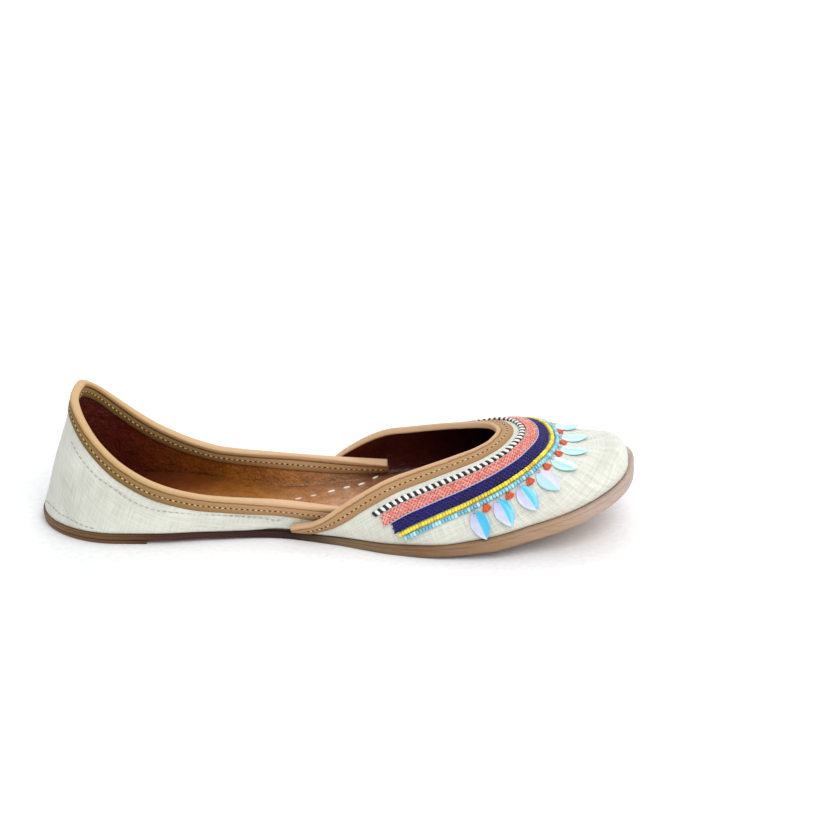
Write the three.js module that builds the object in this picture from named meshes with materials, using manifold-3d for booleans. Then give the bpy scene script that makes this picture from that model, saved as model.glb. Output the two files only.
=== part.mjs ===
// A mojari shoe: a flat slip-on of cream cloth and leather on a thin leather sole with an upturned toe.
// Quarters of cloth stand round the heel and run forward inside the wings of a short vamp. Both edges are
// bound in tan leather, and the vamp carries a striped cord, two embroidered bands, two rows of beads and
// a fan of leaf sequins. The shoe is straight lasted, so it fits either foot.
//
// Millimetres, +X to the toe, +Y to one side, +Z up. The origin is on the floor under the middle of the
// sole. A station is a place along the shoe as a share of its length: 0 at the back and 1 at the toe.
// The tables give lengths as shares of the named sizes that they follow.

import * as THREE from "three";
import { mergeVertices } from "three/addons/utils/BufferGeometryUtils.js";
import Module from "manifold-3d";

const wasm = await Module();
wasm.setup();

// Last and sole outline
const LENGTH = 250;
const BALL_WIDTH = 81;
const WAIST_WIDTH = 45.6;
const HEEL_WIDTH = 59.5;
const TOE_WIDTH = 66;
const TOE_SPRING = 21.5; // floor to the underside of the sole at the tip

// Sole, heel lift and insole
const SEAT_THICKNESS = 2.5; // outsole under the heel
const FOREPART_THICKNESS = 6; // outsole under the toes
const EDGE_BEVEL = 0.8;
const LIFT_THICKNESS = 1.6;
const LIFT_LENGTH = 48;
const LIFT_HOLLOW = 4; // how far the lift's front edge curves back
const LIFT_INSET = 0.4;
const INSOLE_THICKNESS = 1.8;
const INSOLE_ROOM = 0.9; // left between the insole and the walls
const INSOLE_LEAN_ROOM = 1.9; // further in where the quarters' flaps lean over it
const INSOLE_EASE = 12; // length over which it widens again before them
const HEEL_LEDGE = 0.4; // how far the sole stands out past the upper
const TOE_LEDGE = 2.3;
const LEDGE_GROWTH = { from: 0.3, to: 0.9 }; // stations between which it widens

// Vamp
const VAMP_WALL = 1.8;
const INSTEP_HEIGHT = 31.2; // top of the sole to the ridge of the vamp at the ball
const WING_BULGE = 4.2; // how far the wings stand out past their foot
const BULGE_RISE = 12; // height over which they do
const TOE_ROUNDING = 9; // length over which the tip rounds off
const WING_STATION = 0.432; // where the wings reach the sole
const THROAT_STATION = 0.774; // front of the opening

// Quarters
const QUARTER_WALL = 1.8;
const BACK_HEIGHT = 56.3; // floor to the top of the wall at the back
const BACK_LEAN = 16.4; // how far the top of the back leans to the toe
const BACK_BULGE = 0.3;
const TOPLINE_WIDTH = 51; // between the outer faces at the heel
const TOPLINE_END = 26; // length over which the topline rounds at the back
const FLAP_STATION = 0.58; // where the quarters end inside the vamp
const TUCK_LAP = 0.4; // how far the quarters' foot is pressed into the vamp's
const TUCK_RISE = 0.15;

// Bindings
const BINDING_THICKNESS = 0.7;
const VAMP_BINDING_WIDTH = 6.2;
const QUARTER_BINDING_WIDTH = 6;
const RIM_REACH = 1; // how far the vamp's binding turns in over the cut edge
const FOOT_MARGIN = 0.7; // the vamp's binding stops this far above the sole

// Ornament
const BARE_STRIP = 2.2; // cloth left between the vamp's binding and the striped cord
const CORD_WIDTH = 2.8;
const CORD_RISE = 1.5;
const PINK_WIDTH = 4.7;
const NAVY_WIDTH = 4.7;
const BAND_RISE = 1;
const BEAD_ROW_WIDTH = 1.9;
const BEAD_RISE = 1.6;
const ROW_SPACE = 0.35; // left between two rows
const ROW_SHOULDER = 0.3; // share of a row's width where it reaches its full rise
const CORD_MARGIN = 13.7; // between the striped cord's ends and the sole
const BEAD_MARGIN = 3; // the same for the outer bead row
const LEAF_LENGTH = 12.6;
const LEAF_WIDTH = 8;
const LEAF_THICKNESS = 0.4;
const LEAF_FOLD = 0.9; // height of the fold above the leaf's edges
const LEAF_FORM = { lean: 0.85, fullness: 0.75 }; // lean under 1 puts the widest place nearer the stem
const LEAF_TILT = 7; // degrees that the tip rises
const LEAF_COUNT = 12;
const LEAF_PITCH = 10.4; // along the outer bead row
const LEAF_SPACE = 0.4; // between the bead row and a leaf
const LEAF_HEIGHT = 0.6; // from the cloth to the middle of a leaf

const GAP = 0.3; // clearance between pieces that touch

// Half width of the sole before its ends are rounded
const SOLE_OUTLINE = [
  { at: 0.0, half: 0.492 * HEEL_WIDTH },
  { at: 0.13, half: 0.5 * HEEL_WIDTH },
  { at: 0.2, half: 0.497 * HEEL_WIDTH },
  { at: 0.3, half: 0.565 * WAIST_WIDTH },
  { at: 0.4, half: 0.5 * WAIST_WIDTH },
  { at: 0.5, half: 0.607 * WAIST_WIDTH },
  { at: 0.6, half: 0.444 * BALL_WIDTH },
  { at: 0.7, half: 0.498 * BALL_WIDTH },
  { at: 0.765, half: 0.5 * BALL_WIDTH },
  { at: 0.84, half: 0.455 * BALL_WIDTH },
  { at: 0.92, half: 0.515 * TOE_WIDTH },
  { at: 1.0, half: 0.47 * TOE_WIDTH },
];
const HEEL_END = { share: 0.14, squareness: 2 }; // share of the length that rounds off
const TOE_END = { share: 0.15, squareness: 2.5 };

// Thickness of the outsole: 0 is the seat's and 1 the forepart's
const SOLE_THICKNESS = [
  { at: 0.0, mix: 0 },
  { at: 0.25, mix: 0.03 },
  { at: 0.4, mix: 0.1 },
  { at: 0.5, mix: 0.2 },
  { at: 0.6, mix: 0.42 },
  { at: 0.7, mix: 0.67 },
  { at: 0.8, mix: 0.94 },
  { at: 0.9, mix: 1 },
  { at: 1.0, mix: 1 },
];
const SHANK_START = 0.2; // where the sole leaves the heel's level
const TREAD = { from: 0.46, to: 0.6 }; // flat spot under the ball
const SPRING_POWER = 1.9;

// Cross-sections of the vamp: ridge height, side bulge and squareness of the arch
const VAMP_SECTIONS = [
  { at: 0.42, ridge: 1.25 * INSTEP_HEIGHT, bulge: 0.95 * WING_BULGE, power: 2.0 },
  { at: 0.5, ridge: 1.16 * INSTEP_HEIGHT, bulge: 1.0 * WING_BULGE, power: 2.0 },
  { at: 0.56, ridge: 1.1 * INSTEP_HEIGHT, bulge: 0.65 * WING_BULGE, power: 2.0 },
  { at: 0.62, ridge: 1.03 * INSTEP_HEIGHT, bulge: 0.3 * WING_BULGE, power: 2.0 },
  { at: 0.7, ridge: 1.0 * INSTEP_HEIGHT, bulge: 0.12 * WING_BULGE, power: 2.0 },
  { at: 0.76, ridge: 0.955 * INSTEP_HEIGHT, bulge: 0.1 * WING_BULGE, power: 2.05 },
  { at: 0.8, ridge: 0.895 * INSTEP_HEIGHT, bulge: 0.1 * WING_BULGE, power: 2.1 },
  { at: 0.83, ridge: 0.8 * INSTEP_HEIGHT, bulge: 0.1 * WING_BULGE, power: 2.2 },
  { at: 0.853, ridge: 0.69 * INSTEP_HEIGHT, bulge: 0.1 * WING_BULGE, power: 2.3 },
  { at: 0.88, ridge: 0.56 * INSTEP_HEIGHT, bulge: 0.1 * WING_BULGE, power: 2.45 },
  { at: 0.908, ridge: 0.45 * INSTEP_HEIGHT, bulge: 0.08 * WING_BULGE, power: 2.6 },
  { at: 0.94, ridge: 0.36 * INSTEP_HEIGHT, bulge: 0.05 * WING_BULGE, power: 2.8 },
  { at: 1.0, ridge: 0.27 * INSTEP_HEIGHT, bulge: 0, power: 3.0 },
];

// The vamp's top edge: "turn" is the angle round the section, 0 degrees at the sole and 90 on the ridge,
// and "reach" the share of the way from the end of the wing to the front of the throat
const VAMP_EDGE = [
  { turn: 3.5, reach: 0.0 },
  { turn: 9, reach: 0.11 },
  { turn: 20.5, reach: 0.222 },
  { turn: 36, reach: 0.368 },
  { turn: 49.5, reach: 0.507 },
  { turn: 58.5, reach: 0.656 },
  { turn: 65, reach: 0.786 },
  { turn: 71, reach: 0.893 },
  { turn: 79, reach: 0.967 },
  { turn: 90, reach: 1.0 },
];

// Where the lines down the vamp leave its edge and meet the sole, as shares of both half lengths
const VAMP_FAN = [
  { edge: 0.0, foot: 0.0 },
  { edge: 0.15, foot: 0.08 },
  { edge: 0.3, foot: 0.205 },
  { edge: 0.45, foot: 0.305 },
  { edge: 0.55, foot: 0.375 },
  { edge: 0.65, foot: 0.45 },
  { edge: 0.75, foot: 0.54 },
  { edge: 0.85, foot: 0.66 },
  { edge: 0.92, foot: 0.78 },
  { edge: 0.96, foot: 0.88 },
  { edge: 1.0, foot: 1.0 },
];

// The quarters' top edge: height above the floor and half width between the outer faces
const QUARTER_EDGE = [
  { at: 0.07, height: 1.0 * BACK_HEIGHT, half: 0.5 * TOPLINE_WIDTH },
  { at: 0.09, height: 0.89 * BACK_HEIGHT, half: 0.5 * TOPLINE_WIDTH },
  { at: 0.12, height: 0.74 * BACK_HEIGHT, half: 0.5 * TOPLINE_WIDTH },
  { at: 0.16, height: 0.585 * BACK_HEIGHT, half: 0.505 * TOPLINE_WIDTH },
  { at: 0.2, height: 0.475 * BACK_HEIGHT, half: 0.51 * TOPLINE_WIDTH },
  { at: 0.25, height: 0.387 * BACK_HEIGHT, half: 0.49 * TOPLINE_WIDTH },
  { at: 0.3, height: 0.337 * BACK_HEIGHT, half: 0.466 * TOPLINE_WIDTH },
  { at: 0.4, height: 0.3 * BACK_HEIGHT, half: 0.455 * TOPLINE_WIDTH },
  { at: 0.5, height: 0.262 * BACK_HEIGHT, half: 0.468 * TOPLINE_WIDTH },
  { at: 0.58, height: 0.238 * BACK_HEIGHT, half: 0.48 * TOPLINE_WIDTH },
];
const TOPLINE_SQUARENESS = 2.4;
const TUCK = { from: 0.35, to: 0.42 }; // where the quarters pass inside the wings

// How finely each piece is divided
const VAMP_COLUMNS = 60;
const VAMP_ROWS = 10;
const ROW_CLOSING = 1.7; // draws the rows together towards the sole
const QUARTER_COLUMNS = 50;
const QUARTER_ROWS = 6;
const COLUMN_CLOSING = 1.3; // draws the columns together at the toe and at the back
const SOLE_STATIONS = 44;
const INSOLE_STATIONS = 36;
const LIFT_POINTS = 14;
const LIFT_CURVE_STEPS = 8;
const BAND_COLUMNS = 32;
const CURVE_SAMPLES = 400;
const LINE_STEPS = 60;
const LEAF_STEPS = 6; // along each side of a leaf
const LEAF_SEARCH = { reach: 0.1, steps: 40 }; // looks this far across the vamp for the place under a leaf
const WELD = 1e-4; // points nearer than this are one point

const MATERIALS = {
  cloth: { color: 0xdfdfd5, roughness: 0.9, metalness: 0 },
  binding: { color: 0xb98a5e, roughness: 0.55, metalness: 0 },
  sole: { color: 0x8b6450, roughness: 0.7, metalness: 0 },
  lining: { color: 0x7a4522, roughness: 0.6, metalness: 0 },
  stripes: { color: 0x8a8a88, roughness: 0.6, metalness: 0 },
  pink: { color: 0xe08a80, roughness: 0.8, metalness: 0 },
  navy: { color: 0x1a1468, roughness: 0.7, metalness: 0 },
  yellow: { color: 0xe8c818, roughness: 0.35, metalness: 0 },
  blue: { color: 0x8fd4ec, roughness: 0.3, metalness: 0 },
  leaf: { color: 0xa8d8ea, roughness: 0.2, metalness: 0.2 },
};

const clamp = (v, low, high) => Math.min(high, Math.max(low, v));
const mix = (a, b, t) => a + (b - a) * t;
const ramp = (v, from, to) => {
  const t = clamp((v - from) / (to - from), 0, 1);
  return t * t * (3 - 2 * t);
};
const roundEnd = (t, power) => (t >= 1 ? 1 : (1 - (1 - Math.max(t, 0)) ** power) ** (1 / power));
const steps = (count) => Array.from({ length: count + 1 }, (_, i) => i / count);

// A smooth curve through a table's rows that doesn't overshoot between them
function through(rows, along, of) {
  const x = rows.map((r) => r[along]);
  const y = rows.map((r) => r[of]);
  const slope = x.slice(1).map((v, i) => (y[i + 1] - y[i]) / (v - x[i]));
  const tangent = x.map((_, i) => {
    if (i === 0) return slope[0];
    if (i === x.length - 1) return slope[i - 1];
    const product = slope[i - 1] * slope[i];
    return product <= 0 ? 0 : (2 * product) / (slope[i - 1] + slope[i]);
  });
  return (at) => {
    const v = clamp(at, x[0], x[x.length - 1]);
    const next = x.findIndex((k) => k > v);
    const i = next < 0 ? x.length - 2 : next - 1;
    const span = x[i + 1] - x[i];
    const t = (v - x[i]) / span;
    const s = 1 - t;
    const ends = (1 + 2 * t) * s * s * y[i] + (1 + 2 * s) * t * t * y[i + 1];
    return ends + span * t * s * (s * tangent[i] - t * tangent[i + 1]);
  };
}

// A curve's places by share of its length, which is measured once in small steps
function evenly(place, between) {
  const spots = steps(CURVE_SAMPLES).map(place);
  const runs = [0];
  spots.slice(1).forEach((spot, i) => runs.push(runs[i] + between(spots[i], spot)));
  const total = runs[CURVE_SAMPLES];
  const at = (share) => {
    const run = clamp(share, 0, 1) * total;
    const i = clamp(runs.findIndex((r) => r >= run), 1, CURVE_SAMPLES);
    const t = (run - runs[i - 1]) / (runs[i] - runs[i - 1]);
    return Object.fromEntries(Object.keys(spots[i]).map((k) => [k, mix(spots[i - 1][k], spots[i][k], t)]));
  };
  return { at, total };
}

// Plan and levels of the last

const bodyHalf = through(SOLE_OUTLINE, "at", "half");
const thicknessMix = through(SOLE_THICKNESS, "at", "mix");
const ledge = (x) => mix(HEEL_LEDGE, TOE_LEDGE, ramp(x / LENGTH, LEDGE_GROWTH.from, LEDGE_GROWTH.to));
const SEAT_LEVEL = LIFT_THICKNESS + GAP;

// Half width of the sole's outline, taken in by an inset all round
function planHalf(x, inset) {
  const heel = roundEnd((x - inset) / (HEEL_END.share * LENGTH), HEEL_END.squareness);
  const toe = roundEnd((LENGTH - inset - x) / (TOE_END.share * LENGTH), TOE_END.squareness);
  return Math.max(0, (bodyHalf(x / LENGTH) - inset) * heel * toe);
}

function soleBottom(x) {
  const station = x / LENGTH;
  const shank = 1 - ramp(station, SHANK_START, TREAD.from);
  const spring = clamp((station - TREAD.to) / (1 - TREAD.to), 0, 1) ** SPRING_POWER;
  return SEAT_LEVEL * shank + TOE_SPRING * spring;
}

const soleTop = (x) => soleBottom(x) + mix(SEAT_THICKNESS, FOREPART_THICKNESS, thicknessMix(x / LENGTH));
const footLevel = (x) => soleTop(x) + GAP;

// Vamp: an arch in each cross-section, cut back to its top edge

const ridgeAt = through(VAMP_SECTIONS, "at", "ridge");
const bulgeAt = through(VAMP_SECTIONS, "at", "bulge");
const powerAt = through(VAMP_SECTIONS, "at", "power");
const VAMP_END = LENGTH - TOE_LEDGE;
const vampRidge = (x) => ridgeAt(x / LENGTH) * roundEnd((VAMP_END - x) / TOE_ROUNDING, 2);

// A point of the outer face. The turn is in radians: 0 at the near foot, pi at the far one
function archPoint(x, turn) {
  const power = 2 / powerAt(x / LENGTH);
  const side = Math.cos(turn);
  const rise = vampRidge(x) * Math.max(0, Math.sin(turn)) ** power;
  const bulge = bulgeAt(x / LENGTH) * (1 - (1 - Math.min(1, rise / BULGE_RISE)) ** 2);
  const half = (planHalf(x, ledge(x)) + bulge) * Math.abs(side) ** power;
  return new THREE.Vector3(x, -Math.sign(side) * half, footLevel(x) + rise);
}

// The turn at which the arch at x lies behind a point with this side and rise
function turnToward(x, side, rise) {
  const power = powerAt(x / LENGTH) / 2;
  const half = planHalf(x, ledge(x)) + bulgeAt(x / LENGTH);
  const turn = Math.atan2((Math.max(0, rise) / vampRidge(x)) ** power, (Math.abs(side) / half) ** power);
  return side > 0 ? Math.PI - turn : turn;
}

const farEdge = VAMP_EDGE.slice(0, -1).reverse().map((r) => ({ turn: 180 - r.turn, reach: r.reach }));
const edgeReach = through([...VAMP_EDGE, ...farEdge], "turn", "reach");

const vampEdge = evenly(
  (t) => {
    const turn = mix(VAMP_EDGE[0].turn, 180 - VAMP_EDGE[0].turn, t);
    return {
      x: mix(WING_STATION, THROAT_STATION, edgeReach(turn)) * LENGTH,
      turn: THREE.MathUtils.degToRad(turn),
    };
  },
  (a, b) => archPoint(a.x, a.turn).distanceTo(archPoint(b.x, b.turn)),
);

const vampFoot = evenly(
  (t) => {
    const x = mix(WING_STATION * LENGTH, VAMP_END, Math.sin((t * Math.PI) / 2));
    return { x, half: planHalf(x, ledge(x)) };
  },
  (a, b) => Math.hypot(b.x - a.x, b.half - a.half),
);

const fanFoot = through(VAMP_FAN, "edge", "foot");

// The vamp as a sheet: across from the near wing (-1) over the ridge (0) to the far wing (1), and down from
// the top edge (0) to the sole (1)
function vampSheet(across, down) {
  const edge = vampEdge.at((across + 1) / 2);
  const foot = vampFoot.at(fanFoot(1 - Math.abs(across)));
  if (down >= 1) return new THREE.Vector3(foot.x, Math.sign(across) * foot.half, footLevel(foot.x));
  const top = archPoint(edge.x, edge.turn);
  const share = 1 - (1 - down) ** ROW_CLOSING;
  const x = mix(edge.x, foot.x, share);
  const side = mix(top.y, Math.sign(across) * foot.half, share);
  const rise = (top.z - footLevel(edge.x)) * (1 - share);
  return archPoint(x, turnToward(x, side, rise));
}

// Quarters: a wall from the sole's edge to the topline, round the heel

const toplineHeight = through(QUARTER_EDGE, "at", "height");
const toplineHalf = through(QUARTER_EDGE, "at", "half");
const FLAP_END = FLAP_STATION * LENGTH;
const tucked = (x) => ramp(x / LENGTH, TUCK.from, TUCK.to);

const quarterTop = evenly(
  (t) => {
    const x = mix(BACK_LEAN, FLAP_END, t * t);
    const rounding = roundEnd((x - BACK_LEAN) / TOPLINE_END, TOPLINE_SQUARENESS);
    return { x, y: toplineHalf(x / LENGTH) * rounding, z: toplineHeight(x / LENGTH) };
  },
  (a, b) => Math.hypot(b.x - a.x, b.y - a.y),
);

const quarterFoot = evenly(
  (t) => {
    const x = mix(HEEL_LEDGE, FLAP_END, t * t);
    const half = planHalf(x, ledge(x)) - (VAMP_WALL - TUCK_LAP) * tucked(x);
    return { x, y: half, z: footLevel(x) + TUCK_RISE * tucked(x) };
  },
  (a, b) => Math.hypot(b.x - a.x, b.y - a.y),
);

// The quarters as a sheet: around from the far flap (-1) over the back (0) to the near flap (1), and down
// from the topline (0) to the sole (1)
function quarterSheet(around, down) {
  const top = quarterTop.at(Math.abs(around));
  const foot = quarterFoot.at(Math.abs(around));
  const swell = BACK_BULGE * Math.sin(Math.PI * down) * (1 - tucked(foot.x));
  const out = new THREE.Vector2(foot.x - FLAP_END / 2, foot.y).normalize().multiplyScalar(swell);
  const side = around > 0 ? -1 : 1;
  return new THREE.Vector3(
    mix(top.x, foot.x, down) + Math.min(0, out.x),
    side * (mix(top.y, foot.y, down) + out.y),
    mix(top.z, foot.z, down),
  );
}

// A sheet measured in millimetres from its top edge. An offset is along the outward normal
function measured(sheet) {
  const aside = 0.004; // small steps for the slopes
  const ahead = 0.5;
  const lines = new Map();
  const lineAt = (across) => {
    const key = across.toFixed(6);
    if (!lines.has(key)) {
      const points = steps(LINE_STEPS).map((down) => sheet(across, down));
      const runs = [0];
      points.slice(1).forEach((p, i) => runs.push(runs[i] + p.distanceTo(points[i])));
      lines.set(key, { points, runs });
    }
    return lines.get(key);
  };
  const place = (across, run) => {
    const { points, runs } = lineAt(across);
    const found = runs.findIndex((r) => r > run);
    const i = found < 0 ? LINE_STEPS : Math.max(1, found);
    const t = (run - runs[i - 1]) / (runs[i] - runs[i - 1]);
    return points[i - 1].clone().lerp(points[i], t);
  };
  const normal = (across, run) => {
    const u = place(Math.min(1, across + aside), run).sub(place(Math.max(-1, across - aside), run));
    const v = place(across, run + ahead).sub(place(across, Math.max(0, run - ahead)));
    return v.cross(u).normalize();
  };
  const at = (across, run, offset) =>
    place(across, run).addScaledVector(normal(across, Math.max(0, run)), offset);
  const long = (across) => lineAt(across).runs[LINE_STEPS];
  return { at, place, normal, long };
}

const vampSkin = measured(vampSheet);
const quarterSkin = measured(quarterSheet);

// Meshes

// A geometry from triples of points; doubled points are merged and flat triangles dropped
function geometryOf(triangles) {
  const raw = new THREE.BufferGeometry();
  const numbers = triangles.flat().flatMap((p) => p.toArray());
  raw.setAttribute("position", new THREE.Float32BufferAttribute(numbers, 3));
  const merged = mergeVertices(raw, WELD);
  const index = Array.from(merged.index.array);
  const kept = [];
  for (let i = 0; i < index.length; i += 3) {
    const [a, b, c] = index.slice(i, i + 3);
    if (a !== b && b !== c && a !== c) kept.push(a, b, c);
  }
  merged.setIndex(kept);
  return merged;
}

// Four corners as two triangles. On the first side of the shoe they are split the other way, so that both
// sides are alike
function quad(a, b, c, d, first = false) {
  return first ? [[b, c, d], [b, d, a]] : [[a, b, c], [a, c, d]];
}

// A closed wall between two grids of points. Seen from outside, the outer grid's columns run to the right
// and its rows down
function wallBetween(outer, inner) {
  const triangles = [];
  const end = outer.length - 1;
  const foot = outer[0].length - 1;
  for (let i = 0; i < end; i++) {
    const first = i < end / 2;
    for (let j = 0; j < foot; j++) {
      const [o, p] = [outer[i], outer[i + 1]];
      const [m, n] = [inner[i], inner[i + 1]];
      triangles.push(...quad(o[j], o[j + 1], p[j + 1], p[j], first));
      triangles.push(...quad(m[j], n[j], n[j + 1], m[j + 1], first));
    }
    triangles.push(...quad(outer[i][0], outer[i + 1][0], inner[i + 1][0], inner[i][0]));
    triangles.push(...quad(outer[i + 1][foot], outer[i][foot], inner[i][foot], inner[i + 1][foot]));
  }
  for (let j = 0; j < foot; j++) {
    triangles.push(...quad(outer[0][j + 1], outer[0][j], inner[0][j], inner[0][j + 1]));
    triangles.push(...quad(outer[end][j], outer[end][j + 1], inner[end][j + 1], inner[end][j]));
  }
  return geometryOf(triangles);
}

// The inner face of a shell. At the sole it moves in level, so that the cut edge stands flat
function innerGrid(outer, wall) {
  const end = outer.length - 1;
  const foot = outer[0].length - 1;
  return outer.map((column, i) =>
    column.map((point, j) => {
      const u = outer[Math.min(end, i + 1)][j].clone().sub(outer[Math.max(0, i - 1)][j]);
      const v = column[Math.min(foot, j + 1)].clone().sub(column[Math.max(0, j - 1)]);
      const normal = v.cross(u);
      if (j === foot) normal.setZ(0);
      const moved = point.clone().addScaledVector(normal.normalize(), -wall);
      if (j === foot) moved.z = footLevel(moved.x) + point.z - footLevel(point.x);
      return moved;
    }),
  );
}

// The columns of a shell, from -1 to 1, closer in the middle
const columnsOf = (count) =>
  steps(count).map((t) => Math.sign(t - 0.5) * Math.abs(2 * t - 1) ** COLUMN_CLOSING);

const gridOf = (sheet, columns, rows) => columnsOf(columns).map((c) => steps(rows).map((r) => sheet(c, r)));

function manifoldOf(geometry) {
  const mesh = new wasm.Mesh({
    numProp: 3,
    vertProperties: new Float32Array(geometry.attributes.position.array),
    triVerts: new Uint32Array(geometry.index.array),
  });
  return new wasm.Manifold(mesh);
}

function geometryFrom(manifold) {
  const mesh = manifold.getMesh();
  const geometry = new THREE.BufferGeometry();
  geometry.setAttribute("position", new THREE.Float32BufferAttribute(mesh.vertProperties, 3));
  geometry.setIndex(Array.from(mesh.triVerts));
  return geometry;
}

// Upper: the vamp's shell with the quarters' shell pressed into its foot
function upperGeometry() {
  const vamp = gridOf(vampSheet, VAMP_COLUMNS, VAMP_ROWS);
  const quarters = gridOf(quarterSheet, QUARTER_COLUMNS, QUARTER_ROWS);
  const vampShell = manifoldOf(wallBetween(vamp, innerGrid(vamp, VAMP_WALL)));
  const quarterShell = manifoldOf(wallBetween(quarters, innerGrid(quarters, QUARTER_WALL)));
  return geometryFrom(vampShell.add(quarterShell));
}

// A slab with the sole's plan. The profile gives how far each ring lies inside the outline, and its level
function slabGeometry(profile, half, reach, stations) {
  const rings = profile.map(({ inset, level }) =>
    steps(stations).map((t) => {
      const x = mix(reach.from + inset, reach.to - inset, (1 - Math.cos(t * Math.PI)) / 2);
      const y = t === 0 || t === 1 ? 0 : half(x, inset);
      return { near: new THREE.Vector3(x, -y, level(x)), far: new THREE.Vector3(x, y, level(x)) };
    }),
  );
  const triangles = [];
  const [bottom, top] = [rings[0], rings[rings.length - 1]];
  for (let i = 0; i < stations; i++) {
    triangles.push(...quad(bottom[i].near, bottom[i].far, bottom[i + 1].far, bottom[i + 1].near));
    triangles.push(...quad(top[i].near, top[i + 1].near, top[i + 1].far, top[i].far));
    for (let k = 0; k + 1 < rings.length; k++) {
      const [low, high] = [rings[k], rings[k + 1]];
      triangles.push(...quad(low[i].near, low[i + 1].near, high[i + 1].near, high[i].near));
      triangles.push(...quad(low[i].far, high[i].far, high[i + 1].far, low[i + 1].far));
    }
  }
  return geometryOf(triangles);
}

function outsoleGeometry() {
  const profile = [
    { inset: EDGE_BEVEL, level: soleBottom },
    { inset: 0, level: (x) => soleBottom(x) + EDGE_BEVEL },
    { inset: 0, level: (x) => soleTop(x) - EDGE_BEVEL / 2 },
    { inset: EDGE_BEVEL / 2, level: soleTop },
  ];
  return slabGeometry(profile, planHalf, { from: 0, to: LENGTH }, SOLE_STATIONS);
}

// The insole lies inside the walls, and further in where the flaps stand
function insoleGeometry() {
  const flaps = (x) => tucked(x) * (1 - ramp(x, FLAP_END, FLAP_END + INSOLE_EASE));
  const inset = (x) => ledge(x) + QUARTER_WALL + INSOLE_ROOM + flaps(x) * (VAMP_WALL + INSOLE_LEAN_ROOM);
  const profile = [
    { inset: 0, level: footLevel },
    { inset: 0, level: (x) => footLevel(x) + INSOLE_THICKNESS },
  ];
  const reach = { from: inset(0), to: LENGTH - inset(LENGTH) };
  return slabGeometry(profile, (x) => planHalf(x, inset(x)), reach, INSOLE_STATIONS);
}

function heelLiftGeometry() {
  const side = steps(LIFT_POINTS).map((t) => {
    const x = mix(LIFT_LENGTH, LIFT_INSET, Math.sin((t * Math.PI) / 2));
    return new THREE.Vector2(x, t === 1 ? 0 : planHalf(x, LIFT_INSET));
  });
  const other = side.slice(0, -1).reverse().map((p) => new THREE.Vector2(p.x, -p.y));
  const outline = new THREE.Shape([...side, ...other]);
  const control = LIFT_LENGTH - 2 * LIFT_HOLLOW; // the curve passes half way to its control point
  outline.quadraticCurveTo(control, 0, side[0].x, side[0].y);
  const options = { depth: LIFT_THICKNESS, bevelEnabled: false, curveSegments: LIFT_CURVE_STEPS };
  return new THREE.ExtrudeGeometry(outline, options);
}

// A binding: a section carried along a sheet's top edge, in the sheet's own columns. Each corner has a run
// down the sheet and an offset. The outer corners come first, then the inner ones facing them, in reverse
function bindingGeometry(skin, section, columns) {
  const rings = columnsOf(columns).map((across) =>
    section(across).map(([run, offset]) => skin.at(across, run, offset)),
  );
  const triangles = [];
  const count = rings[0].length;
  for (let i = 0; i < columns; i++) {
    for (let k = 0; k < count; k++) {
      const n = (k + 1) % count;
      triangles.push(...quad(rings[i][k], rings[i + 1][k], rings[i + 1][n], rings[i][n], i >= columns / 2));
    }
  }
  for (let k = 0; k + 1 < count / 2; k++) {
    const facing = (ring) => [ring[k], ring[k + 1], ring[count - 2 - k], ring[count - 1 - k]];
    triangles.push(...quad(...facing(rings[0])));
    triangles.push(...quad(...facing(rings[columns]).reverse()));
  }
  return geometryOf(triangles);
}

// Over the quarters' topline and down both faces
function toplineBindingGeometry() {
  const out = GAP + BINDING_THICKNESS;
  const low = QUARTER_BINDING_WIDTH;
  const back = -QUARTER_WALL;
  const section = () => [
    [low, out],
    [low / 2, out],
    [0, out],
    [-out, 0],
    [-out, back],
    [0, back - out],
    [low / 2, back - out],
    [low, back - out],
    [low, back - GAP],
    [low / 2, back - GAP],
    [0, back - GAP],
    [-GAP, back],
    [-GAP, 0],
    [0, GAP],
    [low / 2, GAP],
    [low, GAP],
  ];
  return bindingGeometry(quarterSkin, section, QUARTER_COLUMNS);
}

// Over the vamp's edge: down the outer face, and in over the cut
function vampBindingGeometry() {
  const out = GAP + BINDING_THICKNESS;
  const section = (across) => {
    const low = Math.min(VAMP_BINDING_WIDTH, vampSkin.long(across) - FOOT_MARGIN);
    return [
      [low, out],
      [low / 2, out],
      [0, out],
      [-out, 0],
      [-out, -RIM_REACH],
      [-GAP, -RIM_REACH],
      [-GAP, 0],
      [0, GAP],
      [low / 2, GAP],
      [low, GAP],
    ];
  };
  return bindingGeometry(vampSkin, section, VAMP_COLUMNS);
}

// Ornament rows, side by side from the binding outwards. "edge" is the share of the rise at their sides

const ROWS = [
  { name: "striped_cord", width: CORD_WIDTH, rise: CORD_RISE, edge: 0.35, material: "stripes" },
  { name: "pink_band", width: PINK_WIDTH, rise: BAND_RISE, edge: 0.8, material: "pink" },
  { name: "navy_band", width: NAVY_WIDTH, rise: BAND_RISE, edge: 0.8, material: "navy" },
  { name: "yellow_bead_row", width: BEAD_ROW_WIDTH, rise: BEAD_RISE, edge: 0.35, material: "yellow" },
  { name: "blue_bead_row", width: BEAD_ROW_WIDTH, rise: BEAD_RISE, edge: 0.35, material: "blue" },
];
let nextRun = VAMP_BINDING_WIDTH + BARE_STRIP;
for (const row of ROWS) {
  row.start = nextRun;
  nextRun += row.width + ROW_SPACE;
}
const ROWS_END = nextRun - ROW_SPACE;

// How far from the ridge a row with this outer edge can go before it comes too near the sole
function rowEnd(run) {
  const margin = mix(CORD_MARGIN, BEAD_MARGIN, (run - ROWS[0].start) / (ROWS_END - ROWS[0].start));
  return steps(CURVE_SAMPLES).findLast((across) => vampSkin.long(across) - run >= margin);
}

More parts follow.
